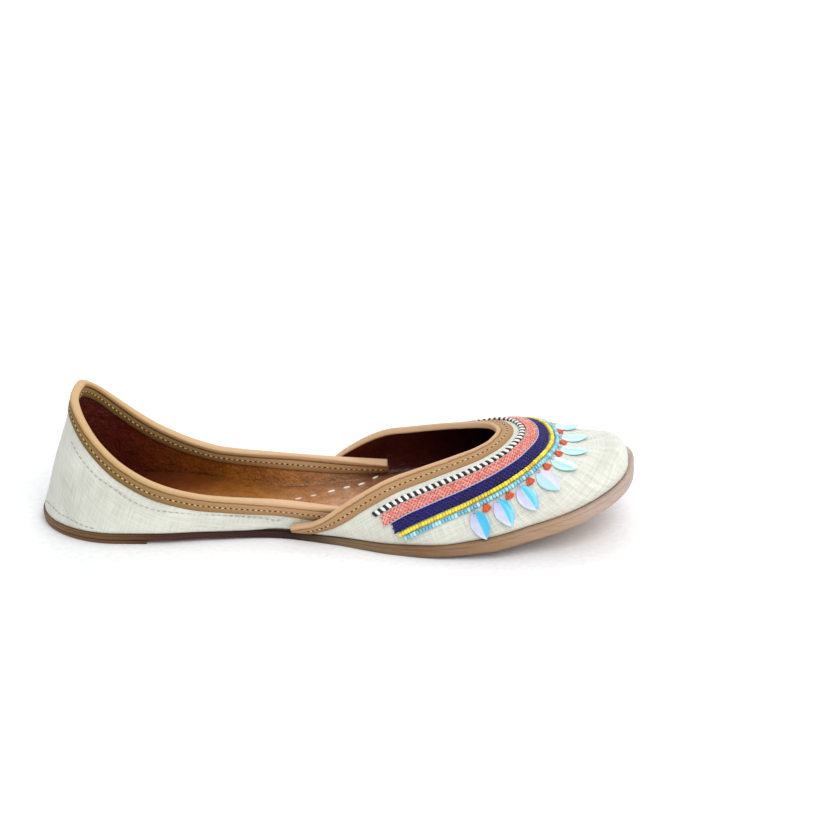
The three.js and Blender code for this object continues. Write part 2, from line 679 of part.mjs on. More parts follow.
function rowGeometry(row) {
  const end = rowEnd(row.start + row.width);
  const profile = [
    { share: 0, rise: row.edge * row.rise },
    { share: ROW_SHOULDER, rise: row.rise },
    { share: 1 - ROW_SHOULDER, rise: row.rise },
    { share: 1, rise: row.edge * row.rise },
  ];
  const grid = (offset) =>
    steps(BAND_COLUMNS).map((c) =>
      profile.map((p) => vampSkin.at(mix(-end, end, c), row.start + p.share * row.width, offset(p))),
    );
  return wallBetween(grid((p) => GAP + p.rise), grid(() => GAP));
}

// Leaf sequin along +X with its stem at the origin: a plate folded along its middle
function leafGeometry() {
  const widthAt = (t) => LEAF_WIDTH * Math.sin(Math.PI * t ** LEAF_FORM.lean) ** LEAF_FORM.fullness;
  const section = (t, level) => {
    const x = t * LEAF_LENGTH;
    const half = t === 0 || t === 1 ? 0 : widthAt(t) / 2;
    const fold = level + LEAF_FOLD;
    const edge = fold - (LEAF_FOLD * half) / (LEAF_WIDTH / 2);
    return [
      new THREE.Vector3(x, -half, edge),
      new THREE.Vector3(x, 0, fold),
      new THREE.Vector3(x, half, edge),
    ];
  };
  const low = steps(LEAF_STEPS).map((t) => section(t, 0));
  const high = steps(LEAF_STEPS).map((t) => section(t, LEAF_THICKNESS));
  const triangles = [];
  for (let i = 0; i < LEAF_STEPS; i++) {
    for (const k of [0, 1]) {
      triangles.push(...quad(high[i][k], high[i + 1][k], high[i + 1][k + 1], high[i][k + 1]));
      triangles.push(...quad(low[i][k + 1], low[i + 1][k + 1], low[i + 1][k], low[i][k]));
    }
    triangles.push(...quad(low[i][0], low[i + 1][0], high[i + 1][0], high[i][0]));
    triangles.push(...quad(high[i][2], high[i + 1][2], low[i + 1][2], low[i][2]));
  }
  return geometryOf(triangles);
}

// The leaves' places along the outer bead row, from one side to the other
function leafPlaces() {
  const run = ROWS_END + LEAF_SPACE;
  const end = rowEnd(ROWS_END);
  const line = evenly(
    (t) => ({ across: mix(-end, end, t) }),
    (a, b) => vampSkin.place(a.across, run).distanceTo(vampSkin.place(b.across, run)),
  );
  return Array.from({ length: LEAF_COUNT }, (_, i) => {
    const away = (i - (LEAF_COUNT - 1) / 2) * LEAF_PITCH;
    return { across: line.at(0.5 + away / line.total).across, run };
  });
}

// A leaf stands square to the bead row. It is held off the cloth under its middle and tilts up from its stem
function leafMatrix({ across, run }) {
  const { reach } = LEAF_SEARCH;
  const aside = reach / LEAF_SEARCH.steps;
  const stem = vampSkin.place(across, run);
  const row = vampSkin.place(across + aside, run).sub(vampSkin.place(across - aside, run));
  const aim = row.cross(vampSkin.normal(across, run)).setLength(LEAF_LENGTH / 2).add(stem);
  const spots = steps(LEAF_SEARCH.steps).map((t) => across + mix(-reach, reach, t));
  const away = (spot) => vampSkin.place(spot, run + LEAF_LENGTH / 2).distanceTo(aim);
  const under = spots.reduce((best, spot) => (away(spot) < away(best) ? spot : best));
  const lift = vampSkin.normal(under, run + LEAF_LENGTH / 2);
  const middle = vampSkin.at(under, run + LEAF_LENGTH / 2, LEAF_HEIGHT);
  const side = lift.clone().cross(middle.clone().sub(stem)).normalize();
  const along = side.clone().cross(lift);
  const frame = new THREE.Matrix4().makeBasis(along, side, lift).setPosition(middle);
  const tilt = new THREE.Matrix4().makeRotationY(-THREE.MathUtils.degToRad(LEAF_TILT));
  const centred = new THREE.Matrix4().makeTranslation(-LEAF_LENGTH / 2, 0, 0);
  return frame.multiply(tilt).multiply(centred);
}

// The shoe

const shoe = new THREE.Group();
const body = new THREE.Group();
body.position.x = -LENGTH / 2;
shoe.add(body);

function add(name, geometry, material) {
  const mesh = new THREE.Mesh(geometry, new THREE.MeshStandardMaterial(MATERIALS[material]));
  mesh.name = name;
  body.add(mesh);
  return mesh;
}

add("outsole", outsoleGeometry(), "sole");
add("heel_lift", heelLiftGeometry(), "sole");
add("insole", insoleGeometry(), "lining");
add("upper", upperGeometry(), "cloth");
add("topline_binding", toplineBindingGeometry(), "binding");
add("vamp_binding", vampBindingGeometry(), "binding");
for (const row of ROWS) add(row.name, rowGeometry(row), row.material);
leafPlaces().forEach((place, i) => {
  const leaf = add(`leaf_sequin_${String(i + 1).padStart(2, "0")}`, leafGeometry(), "leaf");
  leaf.applyMatrix4(leafMatrix(place));
});

export default shoe;
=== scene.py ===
"""The looks of a mojari shoe: cloth, leather, thread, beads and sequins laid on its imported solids."""

import functools
import math

import bmesh
import bpy
import numpy as np
from mathutils import Matrix, Vector


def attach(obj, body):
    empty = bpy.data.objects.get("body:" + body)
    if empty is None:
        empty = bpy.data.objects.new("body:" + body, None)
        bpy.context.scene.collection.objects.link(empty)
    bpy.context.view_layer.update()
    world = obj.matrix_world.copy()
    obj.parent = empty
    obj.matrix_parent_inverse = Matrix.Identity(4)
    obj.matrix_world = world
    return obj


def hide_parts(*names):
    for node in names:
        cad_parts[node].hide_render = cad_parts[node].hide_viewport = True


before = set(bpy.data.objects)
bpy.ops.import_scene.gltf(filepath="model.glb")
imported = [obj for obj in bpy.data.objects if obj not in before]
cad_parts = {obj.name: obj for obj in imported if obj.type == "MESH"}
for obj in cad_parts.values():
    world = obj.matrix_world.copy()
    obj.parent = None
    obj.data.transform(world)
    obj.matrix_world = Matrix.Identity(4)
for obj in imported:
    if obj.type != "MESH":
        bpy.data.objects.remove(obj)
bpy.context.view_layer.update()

MM = 0.001

# Sizes of the shoe, in millimetres from the back of the heel. They are the solids' own.
LENGTH = 250
BALL_WIDTH, WAIST_WIDTH, HEEL_WIDTH, TOE_WIDTH = 81, 45.6, 59.5, 66
TOE_SPRING = 21.5
SEAT_THICKNESS, FOREPART_THICKNESS = 2.5, 6
LIFT_THICKNESS, LIFT_LENGTH, LIFT_HOLLOW, LIFT_INSET = 1.6, 48, 4, 0.4
INSOLE_THICKNESS, INSOLE_ROOM, INSOLE_LEAN_ROOM, INSOLE_EASE = 1.8, 0.9, 1.9, 12
HEEL_LEDGE, TOE_LEDGE = 0.4, 2.3
WALL = 1.8
INSTEP_HEIGHT, WING_BULGE, BULGE_RISE, TOE_ROUNDING = 31.2, 4.2, 12, 9
WING_STATION, THROAT_STATION, FLAP_STATION = 0.432, 0.774, 0.58
BACK_HEIGHT, BACK_LEAN, BACK_BULGE = 56.3, 16.4, 0.3
TOPLINE_WIDTH, TOPLINE_END, TOPLINE_SQUARENESS = 51, 26, 2.4
TUCK_LAP, TUCK_RISE = 0.4, 0.15
VAMP_BINDING_WIDTH, QUARTER_BINDING_WIDTH, FOOT_MARGIN = 6.2, 6, 0.7
BARE_STRIP, ROW_SPACE = 2.2, 0.35
CORD_MARGIN, BEAD_MARGIN = 13.7, 3
LEAF_LENGTH, LEAF_WIDTH, LEAF_FOLD, LEAF_TILT = 12.6, 8, 0.9, 7
LEAF_LEAN, LEAF_FULLNESS = 0.85, 0.75
LEAF_COUNT, LEAF_PITCH, LEAF_SPACE, LEAF_HEIGHT = 12, 10.4, 0.4, 0.6
GAP = 0.3
ROW_CLOSING = 1.7
COLUMN_CLOSING = 1.3

# Half width of the sole before its ends are rounded: station, half width
SOLE_OUTLINE = [
    (0.0, 0.492 * HEEL_WIDTH), (0.13, 0.5 * HEEL_WIDTH), (0.2, 0.497 * HEEL_WIDTH),
    (0.3, 0.565 * WAIST_WIDTH), (0.4, 0.5 * WAIST_WIDTH), (0.5, 0.607 * WAIST_WIDTH),
    (0.6, 0.444 * BALL_WIDTH), (0.7, 0.498 * BALL_WIDTH), (0.765, 0.5 * BALL_WIDTH),
    (0.84, 0.455 * BALL_WIDTH), (0.92, 0.515 * TOE_WIDTH), (1.0, 0.47 * TOE_WIDTH),
]
HEEL_END, HEEL_SQUARENESS = 0.14, 2
TOE_END, TOE_SQUARENESS = 0.15, 2.5
# Station, share of the way from the seat's thickness to the forepart's
SOLE_THICKNESS = [
    (0.0, 0), (0.25, 0.03), (0.4, 0.1), (0.5, 0.2), (0.6, 0.42), (0.7, 0.67), (0.8, 0.94),
    (0.9, 1), (1.0, 1),
]
SHANK_START, TREAD_FROM, TREAD_TO, SPRING_POWER = 0.2, 0.46, 0.6, 1.9
# Station, ridge as a share of the instep, bulge as a share of the wing's, squareness
VAMP_SECTIONS = [
    (0.42, 1.25, 0.95, 2.0), (0.5, 1.16, 1.0, 2.0), (0.56, 1.1, 0.65, 2.0), (0.62, 1.03, 0.3, 2.0),
    (0.7, 1.0, 0.12, 2.0), (0.76, 0.955, 0.1, 2.05), (0.8, 0.895, 0.1, 2.1), (0.83, 0.8, 0.1, 2.2),
    (0.853, 0.69, 0.1, 2.3), (0.88, 0.56, 0.1, 2.45), (0.908, 0.45, 0.08, 2.6),
    (0.94, 0.36, 0.05, 2.8), (1.0, 0.27, 0, 3.0),
]
# Turn round the section in degrees, share of the way from the wing's end to the throat
VAMP_EDGE = [
    (3.5, 0.0), (9, 0.11), (20.5, 0.222), (36, 0.368), (49.5, 0.507), (58.5, 0.656), (65, 0.786),
    (71, 0.893), (79, 0.967), (90, 1.0),
]
# Share of the vamp's edge, share of its foot
VAMP_FAN = [
    (0.0, 0.0), (0.15, 0.08), (0.3, 0.205), (0.45, 0.305), (0.55, 0.375), (0.65, 0.45),
    (0.75, 0.54), (0.85, 0.66), (0.92, 0.78), (0.96, 0.88), (1.0, 1.0),
]
# Station, height as a share of the back's, half width as a share of the topline's
QUARTER_EDGE = [
    (0.07, 1.0, 0.5), (0.09, 0.89, 0.5), (0.12, 0.74, 0.5), (0.16, 0.585, 0.505),
    (0.2, 0.475, 0.51), (0.25, 0.387, 0.49), (0.3, 0.337, 0.466), (0.4, 0.3, 0.455),
    (0.5, 0.262, 0.468), (0.58, 0.238, 0.48),
]
TUCK_FROM, TUCK_TO = 0.35, 0.42
# Row, width in millimetres
ROW_WIDTHS = [
    ("striped_cord", 2.8), ("pink_band", 4.7), ("navy_band", 4.7), ("yellow_bead_row", 1.9),
    ("blue_bead_row", 1.9),
]

# How the photograph was taken, in the solids' frame
CAMERA_TARGET = (158.44 - LENGTH / 2, 0, 47.39)
CAMERA_DISTANCE = 1150
CAMERA_AZIMUTH, CAMERA_ELEVATION, CAMERA_ROLL = 3.79, 25.0, -1.07
CAMERA_FOCAL_PIXELS, PHOTO_PIXELS, SENSOR = 2765.9, 828, 36


# Curves and levels of the last

def mix(a, b, t):
    return a + (b - a) * t


def ramp(v, start, end):
    t = np.clip((v - start) / (end - start), 0, 1)
    return t * t * (3 - 2 * t)


def round_end(t, power):
    t = np.clip(t, 0, 1)
    return (1 - (1 - t) ** power) ** (1 / power)


def through(rows, column=1):
    """A smooth curve through a table's rows that doesn't overshoot between them."""
    x = np.array([row[0] for row in rows], float)
    y = np.array([row[column] for row in rows], float)
    slope = np.diff(y) / np.diff(x)
    product = slope[:-1] * slope[1:]
    total = np.where(product > 0, slope[:-1] + slope[1:], 1)
    middle = np.where(product > 0, 2 * product / total, 0)
    tangent = np.concatenate([slope[:1], middle, slope[-1:]])

    def at(v):
        v = np.clip(v, x[0], x[-1])
        i = np.clip(np.searchsorted(x, v, side="right") - 1, 0, len(x) - 2)
        span = x[i + 1] - x[i]
        t = (v - x[i]) / span
        s = 1 - t
        ends = (1 + 2 * t) * s * s * y[i] + (1 + 2 * s) * t * t * y[i + 1]
        return ends + span * t * s * (s * tangent[i] - t * tangent[i + 1])

    return at


def evenly(place, measured=None, samples=2000):
    """A curve's places by share of its length. Place gives one array for each of its values."""
    spots = np.stack(place(np.linspace(0, 1, samples + 1)), 1)
    points = spots if measured is None else measured(*spots.T)
    runs = np.concatenate([[0], np.cumsum(np.linalg.norm(np.diff(points, axis=0), axis=1))])
    return lambda share: [np.interp(share, runs / runs[-1], column) for column in spots.T]


body_half = through(SOLE_OUTLINE)
thickness_share = through(SOLE_THICKNESS)
ridge_share, bulge_share, squareness = [through(VAMP_SECTIONS, k) for k in (1, 2, 3)]
topline_height, topline_half = [through(QUARTER_EDGE, k) for k in (1, 2)]
fan_foot = through(VAMP_FAN)
edge_reach = through(VAMP_EDGE + [(180 - turn, reach) for turn, reach in VAMP_EDGE[-2::-1]])
VAMP_END = LENGTH - TOE_LEDGE
FLAP_END = FLAP_STATION * LENGTH
SEAT_LEVEL = LIFT_THICKNESS + GAP


def ledge(x):
    return mix(HEEL_LEDGE, TOE_LEDGE, ramp(x / LENGTH, 0.3, 0.9))


def plan_half(x, inset):
    """Half width of the sole's outline, taken in by an inset all round."""
    heel = round_end((x - inset) / (HEEL_END * LENGTH), HEEL_SQUARENESS)
    toe = round_end((LENGTH - inset - x) / (TOE_END * LENGTH), TOE_SQUARENESS)
    return np.maximum(0, (body_half(x / LENGTH) - inset) * heel * toe)


def sole_bottom(x):
    station = x / LENGTH
    spring = np.clip((station - TREAD_TO) / (1 - TREAD_TO), 0, 1) ** SPRING_POWER
    return SEAT_LEVEL * (1 - ramp(station, SHANK_START, TREAD_FROM)) + TOE_SPRING * spring


def sole_thickness(x):
    return mix(SEAT_THICKNESS, FOREPART_THICKNESS, thickness_share(x / LENGTH))


def foot_level(x):
    return sole_bottom(x) + sole_thickness(x) + GAP


def tucked(x):
    return ramp(x / LENGTH, TUCK_FROM, TUCK_TO)


def vamp_ridge(x):
    rounding = round_end((VAMP_END - x) / TOE_ROUNDING, 2)
    return np.maximum(1e-6, INSTEP_HEIGHT * ridge_share(x / LENGTH) * rounding)


def arch_point(x, turn):
    """A point of the vamp's outer face. Turn is 0 at the near foot and pi at the far one."""
    power = 2 / squareness(x / LENGTH)
    side = np.cos(turn)
    rise = vamp_ridge(x) * np.clip(np.sin(turn), 0, 1) ** power
    bulge = WING_BULGE * bulge_share(x / LENGTH) * (1 - (1 - np.minimum(1, rise / BULGE_RISE)) ** 2)
    half = (plan_half(x, ledge(x)) + bulge) * np.abs(side) ** power
    return np.stack([x, -np.sign(side) * half, foot_level(x) + rise], -1)


def turn_toward(x, side, rise):
    power = squareness(x / LENGTH) / 2
    half = plan_half(x, ledge(x)) + WING_BULGE * bulge_share(x / LENGTH)
    height = (np.maximum(0, rise) / vamp_ridge(x)) ** power
    turn = np.arctan2(height, (np.abs(side) / np.maximum(half, 1e-6)) ** power)
    return np.where(side > 0, np.pi - turn, turn)


def vamp_edge_spots(t):
    turn = mix(VAMP_EDGE[0][0], 180 - VAMP_EDGE[0][0], t)
    return mix(WING_STATION, THROAT_STATION, edge_reach(turn)) * LENGTH, np.radians(turn)


def vamp_foot_spots(t):
    x = mix(WING_STATION * LENGTH, VAMP_END, np.sin(t * np.pi / 2))
    return x, plan_half(x, ledge(x))


def topline_spots(t):
    x = mix(BACK_LEAN, FLAP_END, t * t)
    rounding = round_end((x - BACK_LEAN) / TOPLINE_END, TOPLINE_SQUARENESS)
    return x, TOPLINE_WIDTH * topline_half(x / LENGTH) * rounding, BACK_HEIGHT * topline_height(x / LENGTH)


def quarter_foot_spots(t):
    x = mix(HEEL_LEDGE, FLAP_END, t * t)
    half = plan_half(x, ledge(x)) - (WALL - TUCK_LAP) * tucked(x)
    return x, half, foot_level(x) + TUCK_RISE * tucked(x)


def plan_of(x, y, _):
    return np.stack([x, y], 1)


vamp_edge = evenly(vamp_edge_spots, arch_point)
vamp_foot = evenly(vamp_foot_spots)
quarter_top = evenly(topline_spots, plan_of)
quarter_foot = evenly(quarter_foot_spots, plan_of)


def vamp_sheet(across, down):
    """The vamp's outer face: across from the near wing (-1) to the far one (1), down to the sole (1)."""
    x_edge, turn = vamp_edge((across + 1) / 2)
    x_foot, half_foot = vamp_foot(fan_foot(1 - np.abs(across)))
    top = arch_point(x_edge, turn)
    share = 1 - (1 - down) ** ROW_CLOSING
    x = mix(x_edge, x_foot, share)
    side = mix(top[..., 1], np.sign(across) * half_foot, share)
    rise = (top[..., 2] - foot_level(x_edge)) * (1 - share)
    foot = np.stack([x_foot, np.sign(across) * half_foot, foot_level(x_foot)], -1)
    return np.where((down >= 1)[..., None], foot, arch_point(x, turn_toward(x, side, rise)))


def quarter_sheet(around, down):
    """The quarters' outer face: around from the far flap (-1) over the back to the near flap (1)."""
    top = quarter_top(np.abs(around))
    foot = quarter_foot(np.abs(around))
    swell = BACK_BULGE * np.sin(np.pi * down) * (1 - tucked(foot[0]))
    out_x, out_y = foot[0] - FLAP_END / 2, foot[1]
    long = np.hypot(out_x, out_y)
    x = mix(top[0], foot[0], down) + np.minimum(0, out_x / long * swell)
    y = mix(top[1], foot[1], down) + out_y / long * swell
    return np.stack([x, np.where(around > 0, -1, 1) * y, mix(top[2], foot[2], down)], -1)


class Skin:
    """A sheet measured in millimetres from its top edge, with its outward normals."""

    PACE = 0.25

    def __init__(self, sheet, columns=961, rows=241):
        self.across = np.linspace(-1, 1, columns)
        points = sheet(*np.meshgrid(self.across, np.linspace(0, 1, rows), indexing="ij"))
        runs = np.cumsum(np.linalg.norm(np.diff(points, axis=1), axis=2), axis=1)
        runs = np.concatenate([np.zeros((columns, 1)), runs], 1)
        self.reach = runs[:, -1]
        grid = np.arange(0, self.reach.max() + self.PACE, self.PACE)
        self.points = np.empty((columns, len(grid), 3))
        self.normals = np.empty_like(self.points)
        for i in range(columns):
            for k in range(3):
                self.points[i, :, k] = np.interp(grid, runs[i], points[i, :, k])
        wide = np.gradient(self.points, axis=0)
        down = np.gradient(self.points, axis=1)
        last = np.clip((self.reach / self.PACE).astype(int) - 2, 1, len(grid) - 1)
        for i in range(columns):
            normal = np.cross(down[i], wide[i])
            normal[last[i]:] = normal[last[i]]
            self.normals[i] = normal / np.linalg.norm(normal, axis=1)[:, None]

    def _read(self, table, across, run):
        a = np.clip((across + 1) / 2, 0, 1) * (len(self.across) - 1)
        r = np.clip(run / self.PACE, 0, table.shape[1] - 1.001)
        i = np.minimum(a.astype(int), len(self.across) - 2)
        j = r.astype(int)
        s, t = (a - i)[..., None], (r - j)[..., None]
        near = mix(table[i, j], table[i, j + 1], t)
        return mix(near, mix(table[i + 1, j], table[i + 1, j + 1], t), s)

    def at(self, across, run, offset=0.0):
        across, run, offset = np.broadcast_arrays(*[np.asarray(v, float) for v in (across, run, offset)])
        first = self._read(self.points, across, np.maximum(run, 0))
        slope = self._read(self.points, across, np.zeros_like(run) + 1) - self._read(
            self.points, across, np.zeros_like(run)
        )
        before = first + slope * np.minimum(run, 0)[..., None]
        return before + self.normal(across, run) * offset[..., None]

    def normal(self, across, run):
        across, run = np.broadcast_arrays(np.asarray(across, float), np.asarray(run, float))
        normal = self._read(self.normals, across, np.maximum(run, 0))
        return normal / np.linalg.norm(normal, axis=-1)[..., None]

    def long(self, across):
        return np.interp(across, self.across, self.reach)


vamp_skin = Skin(vamp_sheet)
quarter_skin = Skin(quarter_sheet)

row_places = {}
next_run = VAMP_BINDING_WIDTH + BARE_STRIP
for row_name, row_width in ROW_WIDTHS:
    row_places[row_name] = (next_run, next_run + row_width)
    next_run += row_width + ROW_SPACE
ROWS_START, ROWS_END = row_places["striped_cord"][0], next_run - ROW_SPACE


def row_end(run):
    """How far from the ridge a row with this outer edge can go before it comes too near the sole."""
    margin = mix(CORD_MARGIN, BEAD_MARGIN, (run - ROWS_START) / (ROWS_END - ROWS_START))
    across = np.linspace(0, 1, 401)
    return across[np.nonzero(vamp_skin.long(across) - run >= margin)[0][-1]]


# Meshes

def make_piece(name, points, faces, material, uvs=None, materials=None, face_slots=None, smooth=True):
    """A mesh object at the origin, from points in millimetres from the back of the heel."""
    mesh = bpy.data.meshes.new(name)
    moved = (np.asarray(points, float) - (LENGTH / 2, 0, 0)) * MM
    mesh.from_pydata(moved.tolist(), [], [tuple(int(v) for v in face) for face in faces])
    mesh.update()
    if uvs is not None:
        layer = mesh.uv_layers.new(name="Measured")
        corners = np.empty(len(mesh.loops), int)
        mesh.loops.foreach_get("vertex_index", corners)
        layer.data.foreach_set("uv", np.asarray(uvs, np.float32)[corners].ravel())
    for finish in materials or [material]:
        mesh.materials.append(finish)
    if face_slots is not None:
        mesh.polygons.foreach_set("material_index", np.asarray(face_slots, np.int32))
    mesh.polygons.foreach_set("use_smooth", [smooth] * len(mesh.polygons))
    piece = bpy.data.objects.new(name, mesh)
    bpy.context.scene.collection.objects.link(piece)
    return piece


WELD_DISTANCE = 0.002


def weld(piece, distance=WELD_DISTANCE):
    """Merges doubled points and turns every face outwards."""
    work = bmesh.new()
    work.from_mesh(piece.data)
    bmesh.ops.remove_doubles(work, verts=work.verts, dist=distance * MM)
    bmesh.ops.recalc_face_normals(work, faces=work.faces)
    work.to_mesh(piece.data)
    work.free()


def settle(piece, slot, *nodes):
    """Fixes a finished piece to the shoe and hides the solids it replaces; its slot is not used."""
    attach(piece, "root")
    if nodes:
        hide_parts(*nodes)
    return piece


def grid_faces(columns, rows, start=0, flip=False):
    i, j = np.meshgrid(np.arange(columns - 1), np.arange(rows - 1), indexing="ij")
    a = (start + i * rows + j).ravel()
    quads = np.stack([a, a + 1, a + rows + 1, a + rows], 1)
    return quads[:, ::-1] if flip else quads


def shell(outer, inner):
    """Points and faces of a closed wall between two grids of points, outer face outwards."""
    columns, rows = outer.shape[:2]
    count = columns * rows
    border = [(i, 0) for i in range(columns)] + [(columns - 1, j) for j in range(1, rows)]
    border += [(i, rows - 1) for i in range(columns - 2, -1, -1)] + [(0, j) for j in range(rows - 2, 0, -1)]
    ring = np.array([i * rows + j for i, j in border])
    after = np.roll(ring, -1)
    sides = np.stack([ring, after, after + count, ring + count], 1)
    faces = np.concatenate([grid_faces(columns, rows), grid_faces(columns, rows, count, True), sides])
    return np.concatenate([outer.reshape(-1, 3), inner.reshape(-1, 3)]), faces


def measured_uvs(skin, columns, runs):
    """Millimetres along the skin's edge and down from it, for each point of a grid."""
    edge = skin.at(columns, 0.0)
    along = np.concatenate([[0], np.cumsum(np.linalg.norm(np.diff(edge, axis=0), axis=1))])
    along -= along[-1] / 2
    return np.stack(np.broadcast_arrays(along[:, None], runs), -1).reshape(-1, 2)


def sweep(rings, closed_ends=True):
    """A closed body from rings of points in order; each ring goes round the body."""
    count, around = rings.shape[:2]
    i, j = np.meshgrid(np.arange(count - 1), np.arange(around), indexing="ij")
    a = (i * around + j).ravel()
    b = (i * around + (j + 1) % around).ravel()
    faces = list(np.stack([a, b, b + around, a + around], 1))
    if closed_ends:
        faces.append(tuple(range(around))[::-1])
        faces.append(tuple((count - 1) * around + k for k in range(around)))
    return rings.reshape(-1, 3), faces


def unit(vectors):
    return vectors / np.maximum(np.linalg.norm(vectors, axis=-1, keepdims=True), 1e-9)


def frames(points, normals):
    """Tangents, and normals set square to them, along a path."""
    tangents = unit(np.gradient(points, axis=0))
    normals = unit(normals - tangents * np.sum(normals * tangents, axis=1, keepdims=True))
    return tangents, normals, np.cross(normals, tangents)


def tube(points, normals, half_width, half_height, around=10):
    """Rings of an oval tube along a path, and their measured places."""
    _, normals, sides = frames(points, normals)
    turn = np.linspace(0, 2 * np.pi, around, endpoint=False)
    offset = (
        sides[:, None] * (np.cos(turn)[None, :, None] * np.reshape(half_width, (-1, 1, 1)))
        + normals[:, None] * (np.sin(turn)[None, :, None] * np.reshape(half_height, (-1, 1, 1)))
    )
    along = np.concatenate([[0], np.cumsum(np.linalg.norm(np.diff(points, axis=0), axis=1))])
    uvs = np.stack(np.broadcast_arrays(along[:, None], turn[None] * np.mean(half_width)), -1)
    return points[:, None] + offset, uvs.reshape(-1, 2)


def paced(points, normals, pitch, phase=0.0, margin=0.0):
    """Spots a pitch apart along a path, with their normals and tangents."""
    runs = np.concatenate([[0], np.cumsum(np.linalg.norm(np.diff(points, axis=0), axis=1))])
    spots = np.arange(margin + phase * pitch, runs[-1] - margin + 1e-6, pitch)
    read = lambda table, at: np.stack([np.interp(at, runs, table[:, k]) for k in range(3)], 1)
    step = 0.2
    tangents = unit(read(points, spots + step) - read(points, spots - step))
    return read(points, spots), unit(read(normals, spots)), tangents


def trail(skin, across, run, offset=0.0):
    """A path on a skin and its normals."""
    return skin.at(across, run, offset), skin.normal(across, run)


# Nodes

def colour(text):
    """An sRGB hex colour as linear values."""
    parts = [int(text[i:i + 2], 16) / 255 for i in (1, 3, 5)]
    return (*[p / 12.92 if p <= 0.04045 else ((p + 0.055) / 1.055) ** 2.4 for p in parts], 1.0)


def node(tree, kind, sockets=None, stops=(), **settings):
    """Adds a node. A socket takes a value or another node's output, and stops fill a colour ramp."""
    made = tree.nodes.new(kind)
    for key, value in settings.items():
        setattr(made, key, value)
    for key, value in (sockets or {}).items():
        if isinstance(value, bpy.types.NodeSocket):
            tree.links.new(value, made.inputs[key])
        else:
            made.inputs[key].default_value = value
    for _ in stops[2:]:
        made.color_ramp.elements.new(1.0)
    for i, (place, text) in enumerate(stops):
        made.color_ramp.elements[i].position = place
        made.color_ramp.elements[i].color = colour(text)
    return made


def blank_material(name):
    """An empty material, and the function that adds nodes to it."""
    material = bpy.data.materials.new(name)
    material.use_nodes = True
    material.node_tree.nodes.clear()
    return material, functools.partial(node, material.node_tree)


WAVE_PERIOD = math.pi / 10  # of a wave texture at scale 1
HALF_LENGTH = LENGTH / 2 * MM


def raw_silk(name, light, middle, shadow):
    """Handloom raw silk: matt, with thick and thin yarns that give the cloth its dry, streaked look."""
    material, add = blank_material(name)
    measured = add("ShaderNodeUVMap", uv_map="Measured").outputs[0]
    thread = 0.62  # drawn about twice as coarse as the cloth's, so that it shows
    wobble = add("ShaderNodeTexNoise", {"Vector": measured, "Scale": 0.35, "Detail": 2.0}).outputs["Color"]
    places = add("ShaderNodeVectorMath", {0: wobble, 1: (0.5, 0.5, 0.5), 2: measured},
                 operation="MULTIPLY_ADD").outputs[0]
    warp = add("ShaderNodeTexWave", {"Vector": places, "Scale": WAVE_PERIOD / thread}, bands_direction="X")
    weft = add("ShaderNodeTexWave", {"Vector": places, "Scale": WAVE_PERIOD / thread}, bands_direction="Y")
    weave = add("ShaderNodeMath", {0: warp.outputs["Fac"], 1: weft.outputs["Fac"]}, operation="MULTIPLY")
    long_yarn = add("ShaderNodeMapping", {"Vector": measured, "Scale": (0.07, 1.5, 1.0)}).outputs[0]
    slubs = add("ShaderNodeTexNoise", {"Vector": long_yarn, "Scale": 1.0, "Detail": 3.0}).outputs["Fac"]
    cross_yarn = add("ShaderNodeMapping", {"Vector": measured, "Scale": (1.7, 0.09, 1.0)}).outputs[0]
    nubs = add("ShaderNodeTexNoise", {"Vector": cross_yarn, "Scale": 1.0, "Detail": 3.0}).outputs["Fac"]
    blotches = add("ShaderNodeTexNoise", {"Vector": measured, "Scale": 0.045, "Detail": 2.0}).outputs["Fac"]
    found = add("ShaderNodeCombineXYZ", {0: slubs, 1: nubs, 2: blotches}).outputs[0]
    weights = (0.32, 0.32, 0.36)
    tone = add("ShaderNodeVectorMath", {0: found, 1: weights}, operation="DOT_PRODUCT").outputs[1]
    base = add("ShaderNodeValToRGB", {0: tone}, [(0.34, shadow), (0.5, middle), (0.64, light)]).outputs[0]
    fine = add("ShaderNodeBump", {"Height": weave.outputs[0], "Distance": 0.1 * MM}).outputs[0]
    coarse = add("ShaderNodeBump", {"Height": tone, "Distance": 0.55 * MM, "Normal": fine}).outputs[0]
    shader = add("ShaderNodeBsdfPrincipled", {
        "Base Color": base, "Roughness": 0.86, "Sheen Weight": 0.2, "Sheen Roughness": 0.6,
        "Normal": coarse,
    }).outputs[0]
    add("ShaderNodeOutputMaterial", {"Surface": shader})
    return material


